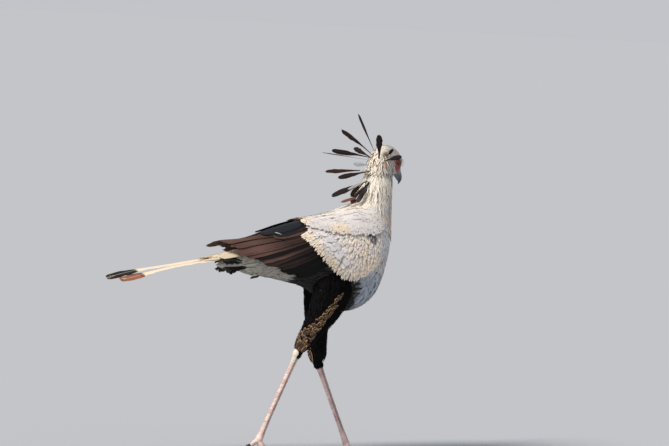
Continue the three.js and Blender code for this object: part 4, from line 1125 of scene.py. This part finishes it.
CREST_SUNK = 16
SPOON = np.array([
    (0, 0.12), (0.12, 0.16), (0.24, 0.22), (0.34, 0.32), (0.44, 0.48), (0.53, 0.68), (0.61, 0.86),
    (0.69, 0.97), (0.77, 1), (0.84, 0.94), (0.9, 0.78), (0.95, 0.54), (0.98, 0.32), (1, 0.1),
])
crest_finish = feather_finish("crest_feather", barbs=60, fringe_from=0.8, fringe=0.35, depth=0.3, sheen=0.0,
                              shaft=(0.05, 0.04, 0.035), shaft_share=0.7, roughness=0.7)


def free_vanes(name, rows, sunk, outline, columns, fray, tint, edge, finish_of, seed, thickness=0.4):
    root, tip = (np.array([row[k] for row in rows], float) for k in (0, 1))
    half, turns, bend = (np.array([row[k] for row in rows], float) for k in (2, 3, 4))
    root = root - unit(tip - root) * sunk
    way = tip - root
    face = np.array([
        Matrix.Rotation(radians(angle), 3, Vector(axis)) @ Vector((0, -1, 0))
        for angle, axis in zip(turns, way)
    ])
    outwards = np.cross(unit(way), unit(np.cross(face, way)))
    rng = np.random.default_rng(seed)
    t, share = ragged(rng, len(rows), outline, columns, fray)
    long = np.linalg.norm(way, axis=1)
    grid = vane_grid(t, share, root, way, outwards, long, half, 0, 0, camber=0.15, bend=bend)
    spot = np.stack([(np.arange(len(rows)) + 0.5) / len(rows), np.full(len(rows), 0.5)], -1)
    return vanes(name, grid, outwards, spot, tint, edge, finish_of, thickness)


dark = mix(srgb(22, 18, 18), srgb(46, 33, 29), np.random.default_rng(90).random(len(CREST)))
for row, colour in CREST_COLOURS.items():
    dark[row] = srgb(*colour)
free_vanes("crest", CREST, CREST_SUNK, SPOON, 7, 0.24, dark, np.clip(dark * 1.5, 0, 0.85), crest_finish, 91)

# Head feathers: short and close, white on the crown, greyer on the cheeks, rusty where the crest is rooted.
# The face round the eye stays bare.
HEAD_FEATHERS_END = 7.1
RUST_REACH = 13


def to_head(points):
    return (np.asarray(points, float) - HEAD_AT) @ head_turn


def bare_share(points):
    x, y, z = np.moveaxis(to_head(points), -1, 0)
    across = (x - 27) / np.where(x < 27, 25, 60)
    reach = np.hypot(across, (z - 3) / np.where(z > 3, 18 - 6 * soft(x, 28, 46), 14 - 4 * soft(x, 24, 4)))
    return np.maximum(soft(reach, 1.04, 0.96), soft(x, 47, 48.5))


def head_colours(points):
    x, y, z = np.moveaxis(to_head(points), -1, 0)
    colour = mix(srgb(232, 222, 212), srgb(214, 203, 195), soft(drift(points, 9), 0.45, 0.9))
    colour = mix(colour, srgb(196, 192, 189), soft(z, 10, -2) * soft(x, -20, 5))
    colour = mix(colour, srgb(230, 222, 208), soft(x, -20, -45))
    roots = np.array([row[0] for row in CREST], float)
    near = np.linalg.norm(points[:, None] - roots, axis=-1).min(1)
    return mix(colour, srgb(140, 92, 58), 0.85 * soft(near, RUST_REACH, 5))


dress("head_feathers", skull_surface, 0.4, HEAD_FEATHERS_END, 2.6, 24, 14, 1.9, PLUME, 3, 0.25,
      keep=lambda points: bare_share(points) < 0.2, sink=2.5, rise=0.5, stray=0.13, colours=head_colours,
      shade=0.06, camber=0.08, thickness=0.12)
dress("nape_plumes", nape_surface, 0.1, 3.4, 4.2, 25, 34, 2.3, PLUME, 3, arc=(0.55 * pi, 1.45 * pi), sink=6,
      rise=4, stray=0.35, colours=head_colours, thickness=0.15)
dress("throat_plumes", nape_surface, 0.0, 2.6, 4.0, 26, 26, 2.2, PLUME, 3, arc=(-0.5 * pi, 0.5 * pi), sink=6,
      rise=2, stray=0.25, droop=1.0, colours=head_colours, thickness=0.15)
dress("shaggy_plumes", body_surface, 8.6, len(BODY) - 1.02, 8, 27, 48, 3.4, PLUME, 5, 0.4,
      arc=(0.12 * pi, 0.88 * pi), sink=6, rise=9, stray=0.35, shade=0.06, hug=False)

# Lashes: long, black and stiff, over each eye.
LASHES = 17
LASH_VANE = np.array([(0, 1), (0.4, 0.8), (0.75, 0.5), (1, 0.1)])
lash_rows = []
rng = np.random.default_rng(93)
for side in (-1, 1):
    for k in range(LASHES):
        q = radians(4 + 150 * k / (LASHES - 1) + rng.normal(0, 2))
        root = round_eye(side, radians(47 - 10 * sin(q) ** 2), q, 12.0)
        tip = round_eye(side, radians(50 + 3 * sin(q)), q + 0.1, 23 + 2.5 * sin(q) + rng.normal(0, 1.1))
        lash_rows.append([from_head(root), from_head(tip + [2.0, 0, 1.5]), 0.6, 30,
                          -1.6 + rng.normal(0, 0.4)])
lash_colour = np.tile(srgb(20, 17, 16), (len(lash_rows), 1))
lash_look = feather_finish("lash", barbs=1, fringe=0.0, shaft_share=0.0, depth=0.0, roughness=0.5, sheen=0.0)
free_vanes("lashes", lash_rows, 2, LASH_VANE, 3, 0.0, lash_colour, lash_colour, lash_look, 92, thickness=0.5)

# Scutes on the legs: wide plates down the front of each shank and over the toes, narrower ones behind, with a
# dark seam between the two rows.
scute_finish = feather_finish("scute", barbs=3, fringe_from=0.82, fringe=0.7, shaft_share=0.0, depth=0.1,
                              roughness=0.45, sheen=0.0)
SCUTE_LOW, SCUTE_EDGE = 0.4, [0.62, 0.52, 0.48]


def scutes(name, surface, start, end, count, middle, reach, lift, seed):
    rng = np.random.default_rng(seed)
    edges = start + (end - start) * (np.arange(count + 1) + rng.normal(0, 0.08, count + 1)) / count
    t, u = np.linspace(0, 1, 6)[:, None], np.linspace(-1, 1, 9)
    overlap = 1.25 * t - 0.12 + 0.1 * (1 - u * u) * t
    s = edges[:-1, None, None] + (edges[1:] - edges[:-1])[:, None, None] * overlap
    a = middle + reach * u * (0.9 + 0.1 * np.sin(pi * t)) * rng.uniform(0.96, 1.04, (count, 1, 1))
    s, a = np.broadcast_arrays(s, a)
    raised = -0.5 + (lift + 0.5) * t ** 0.6 * (1 - 0.5 * u ** 4) + 0 * s
    grid = surface(s, a, raised)
    normal = unit(surface(s, a, raised + 1) - grid)
    grid[..., 2] = np.maximum(grid[..., 2], SCUTE_LOW)
    tint = leg_colours(grid.mean((1, 2))) * rng.uniform(0.9, 1.08, count)[:, None]
    spot = np.stack([(np.arange(count) + 0.5) / count, np.full(count, 0.2 + 0.05 * (seed % 12))], -1)
    return vanes(name, grid, normal, spot, tint, tint * SCUTE_EDGE, scute_finish, 0.3)


def leg_colours(points):
    colour = mix(srgb(212, 190, 182), srgb(196, 166, 158), soft(drift(points, 14), 0.4, 0.9))
    colour = mix(colour, srgb(206, 198, 184), soft(points[..., 2], 285, 310))
    # Painted shade: the left leg, the far one, is darker and more mauve, for the shade it stands in.
    return mix(colour, colour * [0.62, 0.6, 0.68], 0.7 * soft(points[..., 1], -5, 5))


def seam_share(points):
    share = 0.0
    for side in THIGH:
        around = np.arange(8) * pi / 4
        start, end = (shank_surface[side](np.full(8, s), around).mean(0) for s in (0.5, 5.5))
        along = unit(end - start)
        front = unit(np.cross(along, [0, 1.0, 0]))
        from_axis = points - start
        fore = np.abs(np.sum(from_axis * front, -1) - 0.5)
        near = np.linalg.norm(from_axis - along * np.sum(from_axis * along, -1, keepdims=True), axis=-1) < 16
        dashes = 0.55 + 0.45 * np.sin(points[..., 2] * 1.3)
        share = np.maximum(share, soft(fore, 3.4, 1.6) * near * dashes * soft(points[..., 2], 60, 75))
    return share


for k, side in enumerate(THIGH):
    scutes("shank_front_" + side, shank_surface[side], 1.2, 5.9, 34, pi, 1.34, 0.5, 30 + 6 * k)
    scutes("shank_rear_" + side, shank_surface[side], 1.2, 5.9, 44, 0, 1.26, 0.4, 31 + 6 * k)
    for j, (toe, spread, length) in enumerate(TOES):
        scutes("%s_toe_%s" % (toe, side), toe_surface[toe, side], 0.7, 3.95, max(5, length // 6), pi, 1.25,
               0.6, 32 + 6 * k + j)

# Skin: the same colours as the plumage above it, black on the thighs, pink on the legs, orange-red on the
# bare face and grey on the cere, with fine scales where it is bare.
# Painted shade in part: the bare face's orange-red is darkened towards the deep red it shows in shade.
FACE_RED, FACE_DARK, FACE_ORANGE = srgb(150, 58, 38), srgb(118, 40, 32), srgb(166, 96, 52)
CERE_GREY, EYE_RIM, SEAM = srgb(132, 122, 124), srgb(60, 32, 28), srgb(44, 28, 28)
HEAD_REACH = 95


def shin_top(points):
    x, y, _ = np.moveaxis(points, -1, 0)
    return np.where(y < 0, 331 - 0.9 * (x + 149), 272)


def near_head(points):
    return np.linalg.norm(points - HEAD_AT, axis=-1) < HEAD_REACH


def skin_colours(points):
    x, y, z = np.moveaxis(points, -1, 0)
    shin = shin_top(points)
    colour = plumage(points)
    colour = mix(colour, FLANK_BLACK, soft(z, 600, 560) * soft(x, 100, 60) * soft(x, -190, -150))
    legs = mix(leg_colours(points), SEAM, seam_share(points))
    colour = mix(colour, legs, soft(z, shin + 4, shin))
    hx, hy, hz = np.moveaxis(to_head(points), -1, 0)
    on_head = near_head(points) & (hx > -50)
    colour = np.where(on_head[:, None], head_colours(points), colour)
    face = mix(FACE_RED, FACE_DARK, soft(drift(points, 6), 0.3, 0.8))
    face = mix(face, FACE_ORANGE, 0.6 * soft(hz, 0, -8) * soft(hx, 16, 34))
    face = mix(face, CERE_GREY, soft(hx, 46, 50))
    rim = np.linalg.norm(np.stack([hx, np.abs(hy), hz], -1) - EYE_AT, axis=-1)
    face = mix(face, EYE_RIM, soft(rim, EYE_RADIUS + 2.2, EYE_RADIUS + 1.2))
    return mix(colour, face, np.where(on_head, bare_share(points), 0))


def bare_parts(points):
    shin = shin_top(points)
    return np.maximum(soft(points[..., 2], shin + 2, shin - 2),
                      np.where(near_head(points), bare_share(points), 0))


def paint(thing, title, colours):
    values = colours((corners(thing) - origin) / MM)
    rgba = np.ones((len(values), 4))
    rgba[:, :3] = values if values.ndim == 2 else values[:, None]
    thing.data.attributes.new(title, "FLOAT_COLOR", "POINT").data.foreach_set("color", rgba.ravel())


paint(skin, "Tint", skin_colours)
paint(skin, "Bare", bare_parts)
skin_look, add, calc, shade = material("skin")
scales = add("TexVoronoi", {"Vector": add("TexCoord").outputs["Object"], "Scale": 520},
             feature="DISTANCE_TO_EDGE")
lines = add("MapRange", {0: scales.outputs["Distance"], 1: 0.0, 2: 0.12}, clamp=True)
depth = calc("MULTIPLY", lines, add("Attribute", attribute_name="Bare").outputs["Fac"])
shade({
    "Base Color": add("Attribute", attribute_name="Tint").outputs["Color"],
    "Normal": add("Bump", {"Height": depth, "Strength": 0.35, "Distance": 0.0002}),
    "Roughness": 0.55, "Subsurface Weight": 0.08, "Subsurface Radius": (0.004, 0.0015, 0.001),
})
skin.data.materials.clear()
skin.data.materials.append(skin_look)
select(skin)
bpy.ops.object.shade_smooth()

# Eyes: a ball with a sunk brown iris round a black pupil, behind a clear bulging cornea.
EYE_RINGS = 32
PUPIL_RINGS, IRIS_RINGS = 3, 7
IRIS_SUNK, CORNEA_OUT, CORNEA_DEPTH = 1.2, 0.9, 0.35
white_look = material("eye_white", {"Base Color": (0.05, 0.03, 0.022, 1), "Roughness": 0.3})[0]
pupil_look = material("pupil", {"Base Color": (0.003, 0.003, 0.004, 1), "Specular IOR Level": 0.0})[0]
iris_look, add, calc, shade = material("iris")
spokes = add("Mapping", {0: add("UVMap", uv_map="UVMap"), 3: (90, 6, 1)})
grain = add("TexNoise", {"Vector": spokes, "Scale": 1.0, "Detail": 3})
iris_stops = ((0.35, (84, 56, 34)), (0.7, (168, 128, 84)))
shade({"Base Color": fill_ramp(add("ValToRGB", {0: grain}), iris_stops), "Roughness": 0.4})
clear = {"Base Color": (1, 1, 1, 1), "Transmission Weight": 1, "Roughness": 0.02, "IOR": 1.376}
cornea_look = material("cornea", clear)[0]
for side, word in SIDES:
    axis = unit(mirrored(EYE_AXIS, side))
    across = unit(np.cross([0, 0, 1], axis))
    basis = np.stack([across, np.cross(axis, across), axis], 1)
    for name, looks in (("eyeball_", (white_look, iris_look, pupil_look)), ("cornea_", (cornea_look,))):
        bpy.ops.mesh.primitive_uv_sphere_add(segments=64, ring_count=EYE_RINGS, radius=1)
        eye = bpy.context.object
        eye.name = name + word
        points = corners(eye)
        wide = np.hypot(points[:, 0], points[:, 1])
        edge = sin(pi * IRIS_RINGS / EYE_RINGS)
        front = (points[:, 2] > 0) & (wide <= edge + 1e-4)
        if len(looks) > 1:
            radius = EYE_RADIUS - CORNEA_DEPTH
            points *= radius
            dish = cos(pi * IRIS_RINGS / EYE_RINGS) * radius - IRIS_SUNK * (1 - wide / edge)
            points[front, 2] = dish[front]
        else:
            points *= EYE_RADIUS
            points[:, 2] += np.where(points[:, 2] > 0, CORNEA_OUT * soft(wide, edge * 1.15, 0.1), 0)
        points = from_head(points @ basis.T + mirrored(EYE_AT, side))
        eye.data.vertices.foreach_set("co", place(points).ravel())
        for look in looks:
            eye.data.materials.append(look)
        if len(looks) > 1:
            for face in eye.data.polygons:
                spread = max(wide[v] for v in face.vertices) - 1e-4
                if all(front[v] for v in face.vertices):
                    face.material_index = 2 if spread < sin(pi * PUPIL_RINGS / EYE_RINGS) else 1
        select(eye)
        bpy.ops.object.shade_smooth()
        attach(eye, "root")
        if len(looks) > 1:
            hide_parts("eye_" + word)

# Bill and claws: horn, blue-grey and black-edged on the bill, nearly black on the claws, with fine growth
# lines.
BILL_UPPER = [
    [[50, 0, 0], 14.6, 12.8], [[58, 0, -0.6], 14, 12], [[66, 0, -1.8], 13, 10], [[76, 0, -4], 10.5, 7.5],
    [[84, 0, -10], 7.5, 5], [[88, 0, -18], 3.5, 2.6], [[89, 0, -25], 0.8, 0.7],
]
BILL_LOWER = [[[50, 0, -7], 9, 11], [[66, 0, -10], 6.5, 8.5], [[76, 0, -14], 4, 5.5],
              [[81, 0, -17], 1.5, 2.5]]


def bill_colours(points):
    x, y, z = np.moveaxis(to_head(points), -1, 0)
    colour = mix(srgb(104, 114, 124), srgb(78, 88, 98), soft(x, 60, 80))
    top = soft(z, 2 - 0.35 * (x - 56), 10 - 0.35 * (x - 56)) * 0.8
    colour = mix(colour, srgb(44, 46, 50), np.maximum(top, soft(x, 76, 87)))
    return mix(colour, srgb(56, 56, 58), 0.7 * soft(np.abs(z + 8 + 0.12 * (x - 60)), 3, 0.5))


def horn_finish(name, roughness):
    made, add, calc, shade = material(name)
    grain = add("TexNoise", {"Vector": add("TexCoord").outputs["Object"], "Scale": 260, "Detail": 4})
    tone = add("MapRange", {0: grain, 3: 0.82, 4: 1.15})
    tint = add("Attribute", attribute_name="Tint").outputs["Color"]
    shade({
        "Base Color": add("VectorMath", {0: tint, "Scale": tone}, operation="SCALE"),
        "Normal": add("Bump", {"Height": grain, "Strength": 0.2, "Distance": 0.0003}),
        "Roughness": roughness,
    })
    return made


def finish_horn(piece, colours, look):
    paint(piece, "Tint", colours)
    piece.data.materials.append(look)
    select(piece)
    bpy.ops.object.shade_smooth()


bill_look, claw_look = horn_finish("bill_horn", 0.32), horn_finish("claw_horn", 0.4)
for name, rows in (("bill_upper", BILL_UPPER), ("bill_lower", BILL_LOWER)):
    bill = tube("horn_" + name, in_head(on_limb(rows)), np.linspace(0, len(rows) - 1, 48), 36)
    finish_horn(bill, bill_colours, bill_look)
    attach(bill, "root")
    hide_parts(name)
for (toe, side), surface in claw_surface.items():
    claw = tube("talon_%s_%s" % (toe, side), surface, np.linspace(0.3, 3, 20), 16)
    finish_horn(claw, plain(46, 40, 38), claw_look)
    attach(claw, "root")
    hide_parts("claw_%s_%s" % (toe, side))

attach(skin, "root")
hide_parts("torso", "neck", "head", "thigh_right", "thigh_left", "tarsus_right", "tarsus_left",
            "foot_right", "foot_left", "wing_right", "wing_left", "tail")
